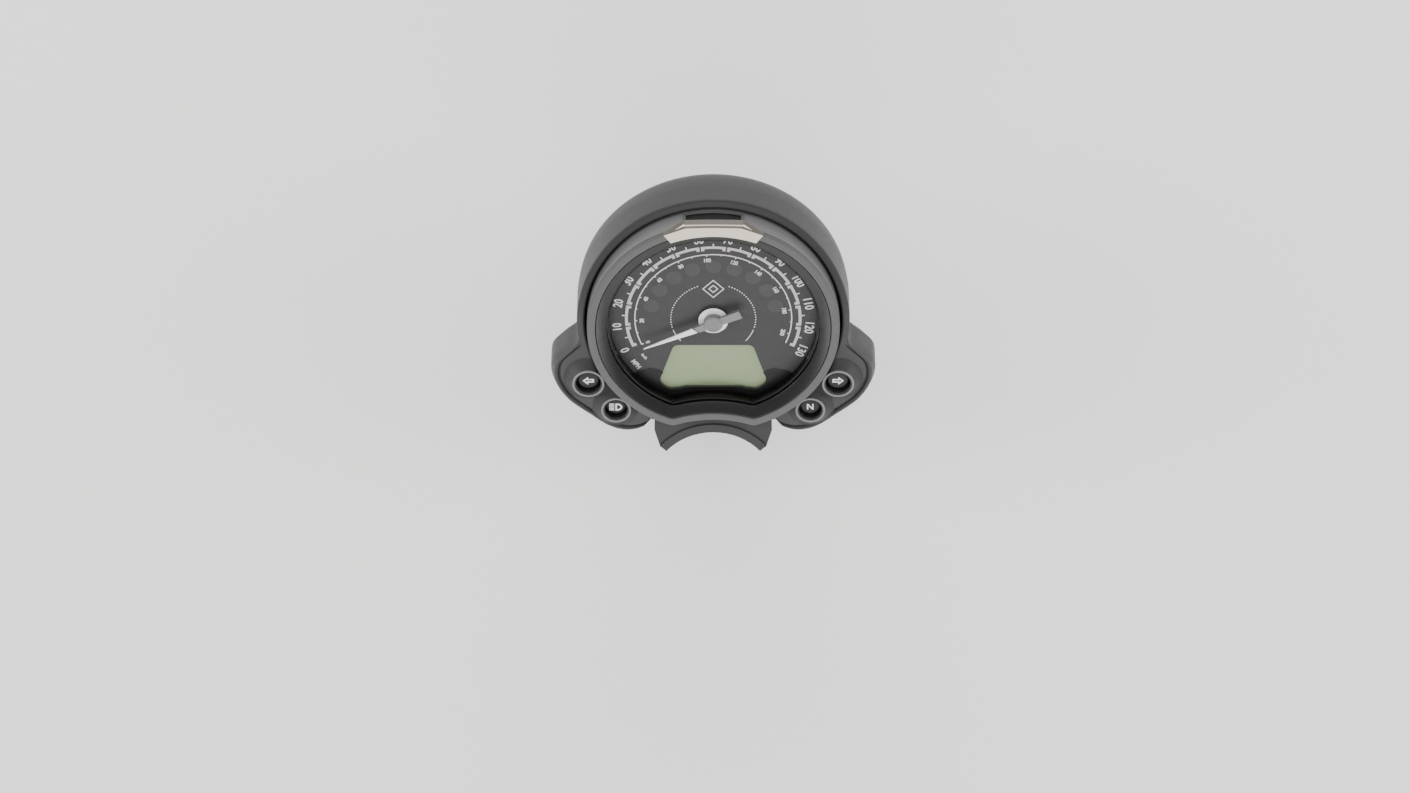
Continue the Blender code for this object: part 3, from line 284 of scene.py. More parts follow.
finishes = {
    "bezel_paint": finishOf("bezel satin paint", tone(72, 72, 72), 0.5, (2600, 0.008)),
    "housing_paint": finishOf("housing satin paint", tone(88, 88, 88), 0.36, (2600, 0.012)),
    "moulded_plastic": finishOf("surround moulded plastic", tone(58, 58, 58), 0.48, (2200, 0.01), shine=0.22),
    "badge_cream": finishOf("badge cream enamel", tone(212, 201, 183), 0.38, (1800, 0.01), 0.03),
    "rubber": finishOf("grommet rubber", tone(34, 34, 34), 0.75, (1600, 0.05)),
    "dial_print": finishOf("dial face ink", tone(62, 62, 62), 0.7, (2400, 0.02), 0.03),
    "lcd": finishOf("liquid crystal green", tone(136, 152, 116), 0.5, (3000, 0.01), 0.03),
    "black_plastic": finishOf("black plastic", tone(26, 26, 26), 0.5, (1500, 0.03)),
    "tube_grey": finishOf("lamp tube grey", tone(70, 70, 70), 0.4, (2000, 0.015)),
    "white_plastic": finishOf("pointer white", tone(250, 250, 248), 0.45, (2000, 0.008), 0.02),
    "hub_grey": finishOf("pointer hub grey", tone(118, 118, 118), 0.45, (2000, 0.012)),
    "gear_plastic": finishOf("gear acetal", tone(200, 196, 184), 0.45, (1600, 0.02)),
    "magnet": finishOf("ferrite magnet", tone(52, 52, 54), 0.55, (2500, 0.03), metallic=0.4),
    "plated_steel": finishOf("zinc plated steel", tone(178, 180, 182), 0.34, (1200, 0.015), metallic=1.0),
    "copper_wire": finishOf("enamelled copper", tone(176, 96, 56), 0.35, (1900, 0.05), metallic=0.9),
    "board_green": finishOf("board solder mask", tone(30, 84, 48), 0.4, (900, 0.03)),
    "clear_plastic": finishOf("light guide acrylic", tone(206, 212, 214), 0.2, (800, 0.01), 0.02),
}
finishes["print_white"] = finishOf("dial white ink", tone(226, 224, 222), 0.6, (2600, 0.01), 0.02)
finishes["print_pink"] = finishOf("scale segment ink", tone(200, 192, 192), 0.6, (2600, 0.01), 0.03)
finishes["print_shade"] = finishOf("dial shadow ink", tone(72, 72, 72), 0.75, (2400, 0.02), 0.03)
# painted shade and painted reflection: this black is laid in the housing slot as its shade, and round the
# window's foot as the lens's dark reflection
finishes["print_black"] = finishOf("black for painted shade and reflection", tone(8, 8, 8), 0.6, (2400, 0.01), 0.03)
finishes["smoked"] = finishOf("smoked lens", tone(34, 34, 34), 0.42, (1500, 0.008), 0.04, shine=0.2)
finishes["funnel_black"] = finishOf("funnel black", tone(16, 16, 16), 0.3, (2200, 0.012))
# painted shade: a darker copy of the badge's cream enamel for the facets that lean back, standing for the
# shade they fall in
finishes["badge_shade"] = finishOf("badge cream with painted shade", tone(84, 80, 73), 0.4, (1800, 0.01), 0.03)
finishes["tube_rim"] = finishOf("lamp rim grey", tone(112, 112, 112), 0.45, (2400, 0.012))
finishes["lens_icon"] = finishOf("lamp symbol ink", tone(240, 240, 238), 0.5, (2600, 0.008), 0.02)


def clearPane(name):
    # hard clear plastic: almost wholly see-through, with a faint gloss that drifts very slightly
    material = bpy.data.materials.new(name)
    material.use_nodes = True
    tree = material.node_tree
    shader = tree.nodes["Principled BSDF"]
    shader.inputs["Base Color"].default_value = (0.02, 0.02, 0.02, 1)
    shader.inputs["Alpha"].default_value = 0.06
    space = tree.nodes.new("ShaderNodeTexCoord")
    cloud = tree.nodes.new("ShaderNodeTexNoise")
    gloss = tree.nodes.new("ShaderNodeMapRange")
    cloud.inputs["Scale"].default_value = 60
    gloss.inputs["To Min"].default_value = 0.03
    gloss.inputs["To Max"].default_value = 0.06
    tree.links.new(space.outputs["Object"], cloud.inputs["Vector"])
    tree.links.new(cloud.outputs["Fac"], gloss.inputs["Value"])
    tree.links.new(gloss.outputs["Result"], shader.inputs["Roughness"])
    return material


finishes["clear_glass"] = clearPane("hard coated glass")

# every node that stays gets the finish of its own slot
for node in nodes.values():
    for held in node.material_slots:
        held.material = finishes.get(held.material.name.split(".")[0], finishes["black_plastic"])
print("finishes made")

# Rim outline shared by the bezel, its funnel, the pane, the housing and the dial
outline = dict(radius=59.4, drop=104.6, bite=52.0, corner=0.45, steps=480, far=1000.0)
outline.update(housing=59.5, housingBite=53.5)
rimAngle = np.linspace(0, 2 * np.pi, outline["steps"], endpoint=False) + math.pi / 2


def bitten(radius, bite, angle=rimAngle):
    # the nearer of a circle and, below, a larger circle's edge, with the corner between them eased
    fall = outline["drop"] * np.sin(angle)
    under = fall**2 - outline["drop"] ** 2 + np.square(bite)
    chord = np.where((under > 0) & (fall < 0), -fall - np.sqrt(np.maximum(under, 0)), outline["far"])
    gap = np.abs(chord - radius) / outline["corner"]
    return np.minimum(chord, radius) - outline["corner"] * np.log1p(np.exp(-gap))


def rimSections(profile, across=None):
    # carries a profile of (radius, z) round the bitten outline, the bite growing as the radius shrinks
    profile = np.asarray(profile, float)
    outer, bite = across or (outline["radius"], outline["bite"])
    radius = bitten(profile[:, None, 0], bite + outer - profile[:, None, 0], rimAngle[None, :])
    return polar(radius, rimAngle[None, :], profile[:, None, 1])


housingAcross = (outline["housing"], outline["housingBite"])

bezel = dict(width=3.9, thick=1.6, roundTop=0.55, roundFoot=0.15)
inner = outline["radius"] - bezel["width"]
corners = [(outline["radius"], -bezel["thick"]), (outline["radius"], 0), (inner, 0), (inner, -bezel["thick"])]
rounds = [bezel["roundFoot"], bezel["roundTop"], bezel["roundTop"], bezel["roundFoot"]]
bezelLoop = rimSections(fillet(corners, rounds, 7))
piece("bezel_face", surface(bezelLoop, True), finishes["bezel_paint"], stands="bezel_ring")

funnel = dict(front=55.2, foot=50.0, footZ=-2.5, seat=-4.8, bore=48.8, low=-9.2, skirt=54.9, shoulder=-2.5)
corners = [(funnel["front"], -0.3), (funnel["foot"], funnel["footZ"]), (funnel["foot"], funnel["seat"])]
corners += [(funnel["bore"], funnel["seat"]), (funnel["bore"], funnel["low"])]
corners += [(funnel["skirt"], funnel["low"]), (funnel["skirt"], funnel["shoulder"])]
corners += [(funnel["front"], funnel["shoulder"])]
funnelLoop = rimSections(fillet(corners, [0.3, 0.4, 0.1, 0.1, 0.1, 0.1, 0.1, 0.1], 5))
piece("bezel_funnel", surface(funnelLoop, True), finishes["funnel_black"], stands="inner_bezel")

pane = dict(edge=49.7, top=-2.3, low=-3.6, ease=0.25)
corners = [(pane["edge"] - 2, pane["low"]), (pane["edge"], pane["low"]), (pane["edge"], pane["top"])]
corners += [(pane["edge"] - 2, pane["top"])]
paneLoop = rimSections(fillet(corners, pane["ease"], 4, closed=False))
paneShape = surface(paneLoop, capEnds=True)
clearPiece = piece("glass_pane", paneShape, finishes["clear_glass"], stands="glass_lens")
clearPiece.visible_camera = False  # light still passes it; the camera sees the dial's fine print undimmed
print("bezel, funnel and glass made")

# Gauge housing: a wall with a shallow slot pressed in above the badge
housing = dict(front=-2.0, back=-33.0, wall=2.0, ledge=6.9, ledgeTop=-10.8, ledgeLow=-12.3, round=0.5)
housing.update(fineBack=-14.2, fineFront=-4.1)  # where the wall's rows are close enough to draw the slot
slot = dict(half=14.0, front=-4.5, back=-13.6, depth=1.6, soft=0.3, inset=0.4, above=0.06, below=0.2)


def slotDepth(angle, z):
    # full depth inside the slot's box, falling smoothly to nothing over a narrow edge
    side = (slot["half"] - np.abs(outline["housing"] * np.cos(angle))) / slot["soft"]
    ends = np.minimum(slot["front"] - z, z - slot["back"]) / slot["soft"]
    return slot["depth"] * np.clip(np.minimum(side, ends), 0, 1) * (np.sin(angle) > 0)


radius, within = outline["housing"], outline["housing"] - housing["wall"]
ledge = within - housing["ledge"]
fineZ = np.linspace(housing["fineBack"], housing["fineFront"], 44)
outerZ = np.concatenate([[housing["back"]], fineZ, [housing["front"]]])
corners = [(within, housing["back"]), *[(radius, z) for z in outerZ], (within, housing["front"])]
corners += [(within, housing["ledgeTop"]), (ledge, housing["ledgeTop"]), (ledge, housing["ledgeLow"])]
corners += [(within, housing["ledgeLow"])]
rounds = np.full(len(corners), 0.1)
rounds[[len(outerZ), len(outerZ) + 1]] = housing["round"]
profile = fillet(corners, rounds, 3)
wall = rimSections(profile, housingAcross)
push = slotDepth(rimAngle[None, :], profile[:, None, 1]) * (profile[:, None, 0] > radius - 0.2)
wall[..., :2] *= 1 - push[..., None] / outline["housing"]
piece("gauge_wall", surface(wall, True), finishes["housing_paint"], stands="gauge_housing")
# painted shade: a black sheet laid just inside the pressed slot stands for the deep shade in it
angle = math.pi / 2 + np.linspace(-1, 1, 40) * (slot["half"] - slot["inset"]) / radius
outerSide, innerSide = radius - slot["depth"] + slot["above"], radius - slot["depth"] - slot["below"]
shadeFront, shadeBack = slot["front"] - slot["inset"], slot["back"] + slot["inset"]
shadeSection = np.array([(outerSide, shadeFront), (outerSide, shadeBack), (innerSide, shadeBack),
                   (innerSide, shadeFront)])
shadeGrid = polar(shadeSection[None, :, 0], angle[:, None], shadeSection[None, :, 1])
piece("slot_painted_shade", surface(shadeGrid, capEnds=True), finishes["print_black"])
print("housing made")

# Badge: a faceted plate over the bezel's top, its back facet running down over the wall
badge = dict(tip=23.0, foot=19.8, crease=13.2, top=14.2, topY=61.1, low=0.32, face=0.95, ridge=1.5)
badge.update(ridgeY=59.5, drop=-3.1, sideDrop=-1.0, under=54.35, cornerY=50.6, rim=59.75, ease=0.12)
rightX = np.array([3, 6, 10, badge["crease"], badge["top"], 17, badge["foot"], 22.2, badge["tip"]])
x = np.concatenate([-rightX[::-1], [0], rightX])
out = np.clip((badge["tip"] - np.abs(x)) / (badge["tip"] - badge["crease"]), 0, 1)
rimY = np.sqrt(badge["rim"] ** 2 - x**2)
footOut = np.clip((badge["tip"] - np.abs(x)) / (badge["tip"] - badge["foot"]), 0, 1)
tipY = math.sqrt(badge["rim"] ** 2 - badge["tip"] ** 2)
tipFoot = tipY - 0.4 + footOut * (badge["cornerY"] - tipY + 0.4)
footY = np.where(np.abs(x) > badge["foot"], tipFoot, np.sqrt(badge["under"] ** 2 - x**2))
ridgeBow = 0.35 * np.cos(np.clip(x / badge["crease"], -1, 1) * math.pi / 2)
ridgeY = tipY - 0.1 + out * (badge["ridgeY"] - tipY) + ridgeBow
tipTop = tipY + 0.35
sideTop = (badge["topY"] - tipTop) * (badge["tip"] - np.abs(x)) / (badge["tip"] - badge["top"])
middleTop = badge["topY"] + 0.3 * (1 - (x / badge["top"]) ** 2)
topY = np.where(np.abs(x) <= badge["top"], middleTop, tipTop + sideTop)
faceZ = badge["face"] + 0 * x
ridgeZ = badge["face"] + (badge["ridge"] - badge["face"]) * out
dropZ = badge["sideDrop"] + (badge["drop"] - badge["sideDrop"]) * out
topLow = np.maximum(topY - 1.0, rimY + 0.02)
lowZ = badge["low"] + 0 * x
loops = [(footY, lowZ), (footY, faceZ), (ridgeY, ridgeZ), (topY, dropZ), (topLow, dropZ - 0.05)]
loops += [(topLow, lowZ)]
badgeGrid = np.stack([np.stack([x, y, z], -1) for y, z in loops], 1)
badgePiece = piece("badge_plate", surface(badgeGrid, capEnds=True), finishes["badge_cream"], stands="badge")
badgeMesh = badgePiece.data
# painted shade: faces turned from the rider and still upwards take the darker copy of the cream, standing for
# the shade on them
badgeMesh.materials.append(finishes["badge_shade"])
normals = np.empty(len(badgeMesh.polygons) * 3)
badgeMesh.polygons.foreach_get("normal", normals)
normals = normals.reshape(-1, 3)
paintedShadeFacets = (normals @ outOfDial < 0.7) & (normals[:, 2] > 0.2)  # turned from the rider, and still upwards
badgeMesh.polygons.foreach_set("material_index", paintedShadeFacets.astype(int))
badgeMesh.shade_flat()
eased(badgePiece, badge["ease"], 2, 14)
print("badge made")

# Dial face with its prints, each print a thin film on the plate; angles are in degrees from three o'clock
dial = dict(face=-9.5, thick=1.0, edge=56.8, hole=2.6, film=0.05, zero=203.75, perTen=-17.5)
window = dict(top=-15.4, topHalf=19.0, side=25.5, sideY=-35.5, bottom=-41.0)
window.update(arch=-38.8, archHalf=16, archBelow=-30)


def windowLoop(grow):
    # a trapezoid with eased corners whose bottom edge arches up in the middle, grown all round
    top, side, low = window["top"] + grow, window["side"] + grow, window["bottom"] - grow
    half = window["topHalf"] + grow
    right = [(half - 0.3, top), (side + 0.3, window["sideY"] - 1.5)]
    right += [(side - 4.4, low - 0.2), (side - 9.5, low + 0.5)]
    corners = np.array([*right, *[(-px, py) for px, py in reversed(right)]])
    rounded = fillet(corners, [2.6, 3.2, 3.0, 3.0, 3.0, 3.0, 3.2, 2.6], 8)
    rise = (window["arch"] - window["bottom"]) * np.clip(1 - (rounded[:, 0] / window["archHalf"]) ** 2, 0, 1)
    return rounded + np.stack([0 * rise, np.where(rounded[:, 1] < window["archBelow"], rise, 0)], 1)


rim = bitten(dial["edge"], outline["housingBite"] + outline["housing"] - dial["edge"])
rimLoop = polar(rim, rimAngle)
holeLoop = polar(dial["hole"], np.linspace(0, 2 * np.pi, 32, endpoint=False))
plate = flatShape([rimLoop, holeLoop, windowLoop(0)], dial["face"] - dial["thick"], dial["face"])
piece("dial_face", plate, finishes["dial_print"], stands="dial_plate")

film = (dial["face"] - 0.02, dial["face"] + dial["film"])
inkTop = film[1] - 0.03
scale = dict(bar=40.25, outer=41.6, foot=39.2, middle=41, footWide=1.5, gap=0.75)
scale.update(tick=1.5, tickWide=0.5, tickAt=42)


def speedAngle(speed):
    # the angle of a speed in miles per hour
    return dial["zero"] + dial["perTen"] * speed / 10


segments, whites = [], []
inset = math.degrees(scale["gap"] / 2 / scale["middle"])
wide = math.degrees(scale["footWide"] / scale["middle"])
half = math.degrees(scale["tickWide"] / 2 / scale["tickAt"])
for count in range(13):
    # a bar of the scale, with a foot turned inwards at each end and a tick outwards from its middle
    start, end = speedAngle(10 * count) - inset, speedAngle(10 * count + 10) + inset
    turn = np.concatenate([np.linspace(start, start - wide, 4), [start - wide - 0.01],
                           np.linspace(start - wide - 0.3, end + wide + 0.3, 10),
                           [end + wide + 0.01], np.linspace(end + wide, end, 4)])
    foot = np.where((turn >= start - wide) | (turn <= end + wide), scale["foot"], scale["bar"])
    angle = np.radians(turn)
    rows = [polar(foot, angle, film[0]), polar(foot, angle, film[1])]
    rows += [polar(scale["outer"], angle, film[1]), polar(scale["outer"], angle, film[0])]
    segments.append(surface(np.stack(rows, 1), capEnds=True))
    middle = (start + end) / 2
    tickEnd = scale["outer"] + scale["tick"]
    whites.append(arcStrip(scale["outer"], tickEnd, middle - half, middle + half, *film, 2))
piece("speed_segments", segments, finishes["print_pink"])

kilometres = dict(radius=37.2, wide=0.5, perTen=17.5 / 1.609344, tick=1.3, tickWide=0.5, tickAt=36)
kilometres.update(shortTick=0.75, last=208, numbers=33.6, size=2.9, squeeze=0.85, bold=0.06)


def kmAngle(speed):
    # the angle of a speed in kilometres per hour
    return dial["zero"] - kilometres["perTen"] * speed / 10


ringRadius = kilometres["radius"]
ringEnd = kmAngle(kilometres["last"])
whites.append(arcStrip(ringRadius - kilometres["wide"], ringRadius, dial["zero"], ringEnd, *film, 200))
half = math.degrees(kilometres["tickWide"] / 2 / kilometres["tickAt"])
for speed in range(0, 210, 10):
    turn = kmAngle(speed)
    reach = kilometres["tick"] * (1.0 if speed % 20 == 0 else kilometres["shortTick"])
    whites.append(arcStrip(ringRadius - reach, ringRadius, turn - half, turn + half, *film, 2))
    if speed % 20 == 0:
        whites.append(lettering(str(speed), kilometres["size"], kilometres["numbers"], turn, inkTop,
                                kilometres["squeeze"], bold=kilometres["bold"]))
numbers = dict(radius=45.4, size=6.0, squeeze=0.8)
for speed in range(0, 140, 10):
    turn = speedAngle(speed)
    whites.append(lettering(str(speed), numbers["size"], numbers["radius"], turn, inkTop, numbers["squeeze"]))
whites.append(lettering("MPH", 3.3, 45.2, 216.0, inkTop, 0.85, spin=-53, bold=0.07))
whites.append(lettering("km/h", 2.1, 39.4, 214.0, inkTop, 0.85, spin=-56, bold=0.03))
piece("dial_numbers", whites, finishes["print_white"])

ring = dict(radius=20.0, dot=0.32, core=0.01, line=0.36)
dots = []
for turn in [*np.linspace(-14, 68, 21), *np.linspace(112, 194, 21)]:
    spot = [(ring["core"], film[0]), (ring["dot"], film[0]), (ring["dot"], film[1]), (ring["core"], film[1])]
    dots.append(turned(spot, polar(ring["radius"], math.radians(turn))[:2], 8))
for start, end in ((-40, -19), (199, 220)):
    halfLine = ring["line"] / 2
    dots.append(arcStrip(ring["radius"] - halfLine, ring["radius"] + halfLine, start, end, *film, 16))
crest = dict(y=17.2, size=5.2, small=2.34, line=0.6)
quarter = np.linspace(0, 2 * np.pi, 5)[:-1]
for size in (crest["size"], crest["small"]):
    # a diamond and the same diamond drawn in by the line's width
    rims = [polar(size - line, quarter)[:, :2] + (0, crest["y"]) for line in (0, crest["line"])]
    dots.append(flatShape(rims, *film))
piece("dial_dots", dots, finishes["print_white"])

shadow = dict(radius=30.0, circle=3.7, core=0.01, below=0.02)
shadeTop = film[1] - shadow["below"]
disc = [(shadow["core"], film[0]), (shadow["circle"], film[0])]
disc += [(shadow["circle"], shadeTop), (shadow["core"], shadeTop)]
shades = []
for turn in np.linspace(14, 166, 9):
    shades.append(turned(disc, polar(shadow["radius"], math.radians(turn))[:2], 40))
piece("dial_symbols", shades, finishes["print_shade"])

# painted reflection: the black sheet round the window's foot stands for the lens's dark reflection there; it
# runs along the plate's low edge, then back over the window's own edge
shade = bitten(dial["edge"] - 1.5, outline["housingBite"] + 4.2)
low = polar(shade, rimAngle)[:, :2]
low = low[(np.abs(low[:, 0]) < 43) & (low[:, 1] < -33)]
low = low[np.argsort(low[:, 0])]
upper = np.array([(41.0, -35.0), (36.0, -30.5), (29.5, -28.6), (25.6, -29.6), (23.6, -31.2)])
opening = windowLoop(0.12)
opening = opening[opening[:, 1] < upper[-1, 1]]
reflectionOutline = np.concatenate([low, upper, opening, (upper * (-1, 1))[::-1]])
piece("window_painted_reflection", flatShape([reflectionOutline], film[0], shadeTop), finishes["print_black"])
print("dial prints made")

panel = dict(top=-10.85, low=-12.7, overlap=1.1)
panelShape = flatShape([windowLoop(panel["overlap"])], panel["low"], panel["top"])
piece("lcd_glass", panelShape, finishes["lcd"], stands="lcd_panel")

# Pointer: rest is at the zero mark; along is out towards the tip, across is to its left
pointer = dict(reach=36.2, root=8.6, width=3.1, tip=0.5, top=-4.7, thick=0.9)
pointer.update(tail=14.0, tailWide=4.4, arm=3.4)
pointer.update(hub=4.5, hubLow=-7.2, disc=7.0, discTop=-7.5, discThick=0.8)
pointerAngle = math.radians(dial["zero"])


def alongPointer(points):
    # turns (along, across) into the dial's x and y
    points = np.asarray(points, float)
    away, left = points[:, 0], points[:, 1]
    x = away * math.cos(pointerAngle) - left * math.sin(pointerAngle)
    return np.stack([x, away * math.sin(pointerAngle) + left * math.cos(pointerAngle)], 1)


half = pointer["width"] / 2
blade = [(pointer["root"] + 1.6, -half), (pointer["reach"] - 0.8, -pointer["tip"] / 2), (pointer["reach"], 0)]
blade += [(pointer["reach"] - 0.8, pointer["tip"] / 2), (pointer["root"] + 0.1, half)]
bladeShape = flatShape([alongPointer(blade)], pointer["top"] - pointer["thick"], pointer["top"])
made = piece("pointer_blade", bladeShape, finishes["white_plastic"], "needle", "needle_blade")
eased(made, 0.18, 2)
hub = pointer["hub"]
# the hub's cap has a ring sunk in its top
cap = [(0.01, -4.1), (1.0, -4.1), (1.15, -4.35), (2.55, -4.35), (2.7, -4.1), (3.7, -4.1), (4.3, -4.35)]
cap += [(hub, -4.9)]
cap += [(hub, pointer["hubLow"]), (1.4, pointer["hubLow"]), (1.4, -5.4), (0.01, -5.4)]
arm, tail = pointer["arm"] / 2, pointer["tailWide"] / 2
bar = [(pointer["root"] + 0.9, -arm), (pointer["root"] - 0.6, arm), (2.0, arm + 0.2), (-2.0, arm + 0.2)]
bar += [(-pointer["tail"], tail), (-pointer["tail"], -tail), (-2.0, -arm - 0.2), (2.0, -arm - 0.2)]
barShape = flatShape([alongPointer(bar)], pointer["top"] - 1.3, pointer["top"] + 0.1)
made = piece("pointer_hub", [turned(cap, steps=64), barShape], finishes["hub_grey"], "needle", "needle_hub")
eased(made, 0.15, 2)
discTop, discLow = pointer["discTop"], pointer["discTop"] - pointer["discThick"]
disc = [(1.5, discLow), (pointer["disc"], discLow), (pointer["disc"], discTop), (1.5, discTop)]
discShape = turned(fillet(disc, 0.2, 4), steps=80)
piece("pointer_disc", discShape, finishes["white_plastic"], "needle", "needle_disc")
print("pointer made")

# Surround: a hood round the gauge that spreads into two ears below, each carrying two tell-tale lamps
shell = dict(mouth=60.75, radius=64.3, steps=900, wall=2.0, back=-50.0, mouthBack=-21.5, edge=0.9)
shell.update(lip=-6.5, lipTop=-13.3, cone=0.6, bendY=8.0, bendSoft=36, open=17.5, openY=-18.0)
shell.update(earDepth=20.0, earRound=1.2, draft=1.75, groove=1.6, grooveWide=0.38, grooveDeep=0.8)
shell.update(raised=0.5, raisedAt=0.85, raisedSoft=0.18)
# corners of the right ear's edge, from under the hood round to the notch
earEdge = np.array([(63.9, -9.0), (63.9, -12.9), (68.8, -17.9), (74.3, -23.6), (75.4, -28.5), (75.0, -33.5),
                    (72.4, -40.0), (68.4, -45.6), (63.2, -50.2), (58.3, -54.0), (54.8, -57.0), (50.6, -60.2),
                    (46.0, -62.4), (41.0, -63.3), (36.4, -62.6), (32.4, -60.7), (29.2, -58.2)])
shellAngle = np.linspace(-np.pi / 2, 1.5 * np.pi, shell["steps"], endpoint=False)


def earReach(angle):
    # how far the right ear's edge stands from the dial's centre at this angle, the left ear mirrored,
    # smoothed over its neighbours and never nearer than the shell
    fold = np.arcsin(np.sin(angle))
    turn = np.arctan2(earEdge[:, 1], earEdge[:, 0])
    order = np.argsort(turn)
    reach = np.interp(fold, turn[order], np.hypot(*earEdge[order].T), left=0, right=0)
    weights, spare = np.hanning(11), 9
    soft = np.convolve(np.pad(reach, spare, mode="wrap"), weights / weights.sum(), "same")[spare:-spare]
    return np.maximum(soft, shell["radius"])


def lipHeight(x, y):
    # level below the bend and sloping back above it, eased, and falling outwards like a cone towards the top
    slope = (shell["lipTop"] - shell["lip"]) / (shell["radius"] - shell["bendY"])
    rise = y - shell["bendY"]
    climb = (rise + np.sqrt(rise**2 + shell["bendSoft"])) / 2
    fall = np.clip(np.hypot(x, y) - shell["mouth"], 0, 4) * shell["cone"] * np.clip(climb / 50, 0, 1)
    return shell["lip"] + slope * climb - fall


reach = earReach(shellAngle)
ear = np.clip((reach - shell["radius"]) / 6, 0, 1)
ear = ear * ear * (3 - 2 * ear)
# rows start inside the mouth, climb to the face, run over it and down the sides, and return inside the back
rows = []
mouthTop = lipHeight(shell["mouth"] * np.cos(shellAngle), shell["mouth"] * np.sin(shellAngle))
for drop in (0.0, 0.45, 1.0):
    z = shell["mouthBack"] + (mouthTop - 0.5 - shell["mouthBack"]) * drop
    rows.append(polar(shell["mouth"], shellAngle, z))
bandEdge = reach - shell["edge"]
room = bandEdge - shell["mouth"] - 0.3
# rows across the face, packed where the groove and the raised lip run along an ear's edge
offsets = np.concatenate([np.arange(12) * 0.25, [3.1, 3.6, 4.2, 5.0, 6.0]])
squeeze = np.minimum(1, room * 0.9 / offsets[-1])
inwards = [room * share + offsets[-1] * squeeze * (1 - share) for share in np.linspace(1, 0, 14)[:-1]]
inwards += [offset * squeeze for offset in offsets[::-1]]
for inward in inwards:
    radius = bandEdge - inward
    x, y = radius * np.cos(shellAngle), radius * np.sin(shellAngle)
    z = lipHeight(x, y) - 0.3 * np.clip(1 - (radius - shell["mouth"] - 0.3) / 0.4, 0, 1) ** 2
    # a fine groove runs inside the edge of each ear, and a low raised lip outside it
    dip = np.exp(-((inward - shell["groove"]) / shell["grooveWide"]) ** 2) * shell["grooveDeep"]
    raised = shell["raised"] / (1 + np.exp((inward - shell["raisedAt"]) / shell["raisedSoft"]))
    z = z + ear * (raised - dip)
    rows.append(np.stack([x, y, z], -1))
topZ = rows[-1][:, 2]
for turn in np.linspace(0.15, 1, 6) * np.pi / 2:
    radius = bandEdge + shell["edge"] * math.sin(turn)
    rows.append(polar(radius, shellAngle, topZ - shell["edge"] * (1 - math.cos(turn))))
sideTop = rows[-1][:, 2]
flank = np.clip((np.sin(shellAngle) + 0.92) / 0.4, 0.1, 1)
earBack = shell["lip"] - shell["earDepth"]
earFoot = earBack + shell["earRound"]
for share in np.linspace(0.12, 1, 9):
    # the ears widen by the draft as they go down, least beside the notch
    z = sideTop + (earFoot - sideTop) * share
    swell = ear * flank * shell["draft"] * np.minimum(share * 3.2, 1) ** 0.7
    rows.append(polar(reach + swell, shellAngle, z))
for share in np.linspace(0, 1, 7)[1:]:
    radius = reach + swell + (shell["radius"] - reach - swell) * share
    rows.append(polar(radius, shellAngle, earFoot - shell["earRound"] * min(share * 3, 1)))
levels = np.array([(64.3, -27.0), (63.8, -32.5), (62.9, -37.5), (60.5, -42.0), (56.5, -46.5), (50.0, -50.0)])
for radius, z in fillet(levels, 2.5, 5, closed=False):
    rows.append(polar(radius, shellAngle, np.minimum(z, earBack - 0.3)))
opening = polar(shell["open"], shellAngle, shell["back"]) + np.array([0, shell["openY"], 0])
backRim = rows[-1]
for share in (0.2, 0.5, 0.8, 1.0):
    rows.append(backRim + (opening - backRim) * share)
innerOpening = opening + np.array([0, 0, shell["wall"]])
innerRim = polar(49.5, shellAngle, shell["back"] + shell["wall"])
rows += [innerOpening, innerRim + (innerOpening - innerRim) * 0.5, innerRim]
for radius, z in ((55.4, -45.0), (59.0, -40.8), (61.2, -36.6), (62.0, -32.2), (62.3, -27.5), (62.3, -24.0)):
    rows.append(polar(radius, shellAngle, z))
shellPiece = piece("surround_shell", surface(np.stack(rows, 0), True), finishes["moulded_plastic"],
                   stands="surround", smoothAngle=50)


def carve(target, name, surfaces):
    # cuts a hidden closed shape out of a piece and applies it at once
    cutter = piece(name, surfaces, finishes["black_plastic"])
    hollow = target.modifiers.new("Carve", "BOOLEAN")
    hollow.object = cutter
    hollow.solver = "EXACT"
    graph = bpy.context.evaluated_depsgraph_get()
    done = bpy.data.meshes.new_from_object(target.evaluated_get(graph))
    target.modifiers.remove(hollow)
    target.data = done
    bpy.data.objects.remove(cutter)


notch = dict(half=28.3, low=-95.0, top=-50.0, ease=1.2, back=-75, front=12)
corners = [(-notch["half"], notch["low"]), (notch["half"], notch["low"])]
corners += [(notch["half"], notch["top"]), (-notch["half"], notch["top"])]
cutter = flatShape([fillet(corners, notch["ease"], 5)], notch["back"], notch["front"])
carve(shellPiece, "notch_cutter", cutter)
print("surround made")

# Tell-tale lamps: place, rim radius, rim height, lens radius, and how far each lens sits below its rim
lamps = {
    "turn_left": dict(x=-59.1, y=-32.6, rim=7.6, z=-1.6, lens=4.8),
    "turn_right": dict(x=59.1, y=-32.6, rim=7.6, z=-1.6, lens=4.8),
    "beam": dict(x=-46.1, y=-48.9, rim=7.1, z=-2.7, lens=4.25),
    "neutral": dict(x=46.1, y=-48.9, rim=7.1, z=-2.7, lens=4.25),
}
lampShape = dict(lensDrop=2.8, dome=0.25, flare=4.6, flareDrop=0.75, tubeBack=-15.0)


def keepOutside(grid, radius):
    # moves points nearer the dial's centre than the radius straight out to it
    away = np.hypot(grid[..., 0], grid[..., 1])
    grid[..., :2] *= np.maximum(1, radius / away)[..., None]
    return grid


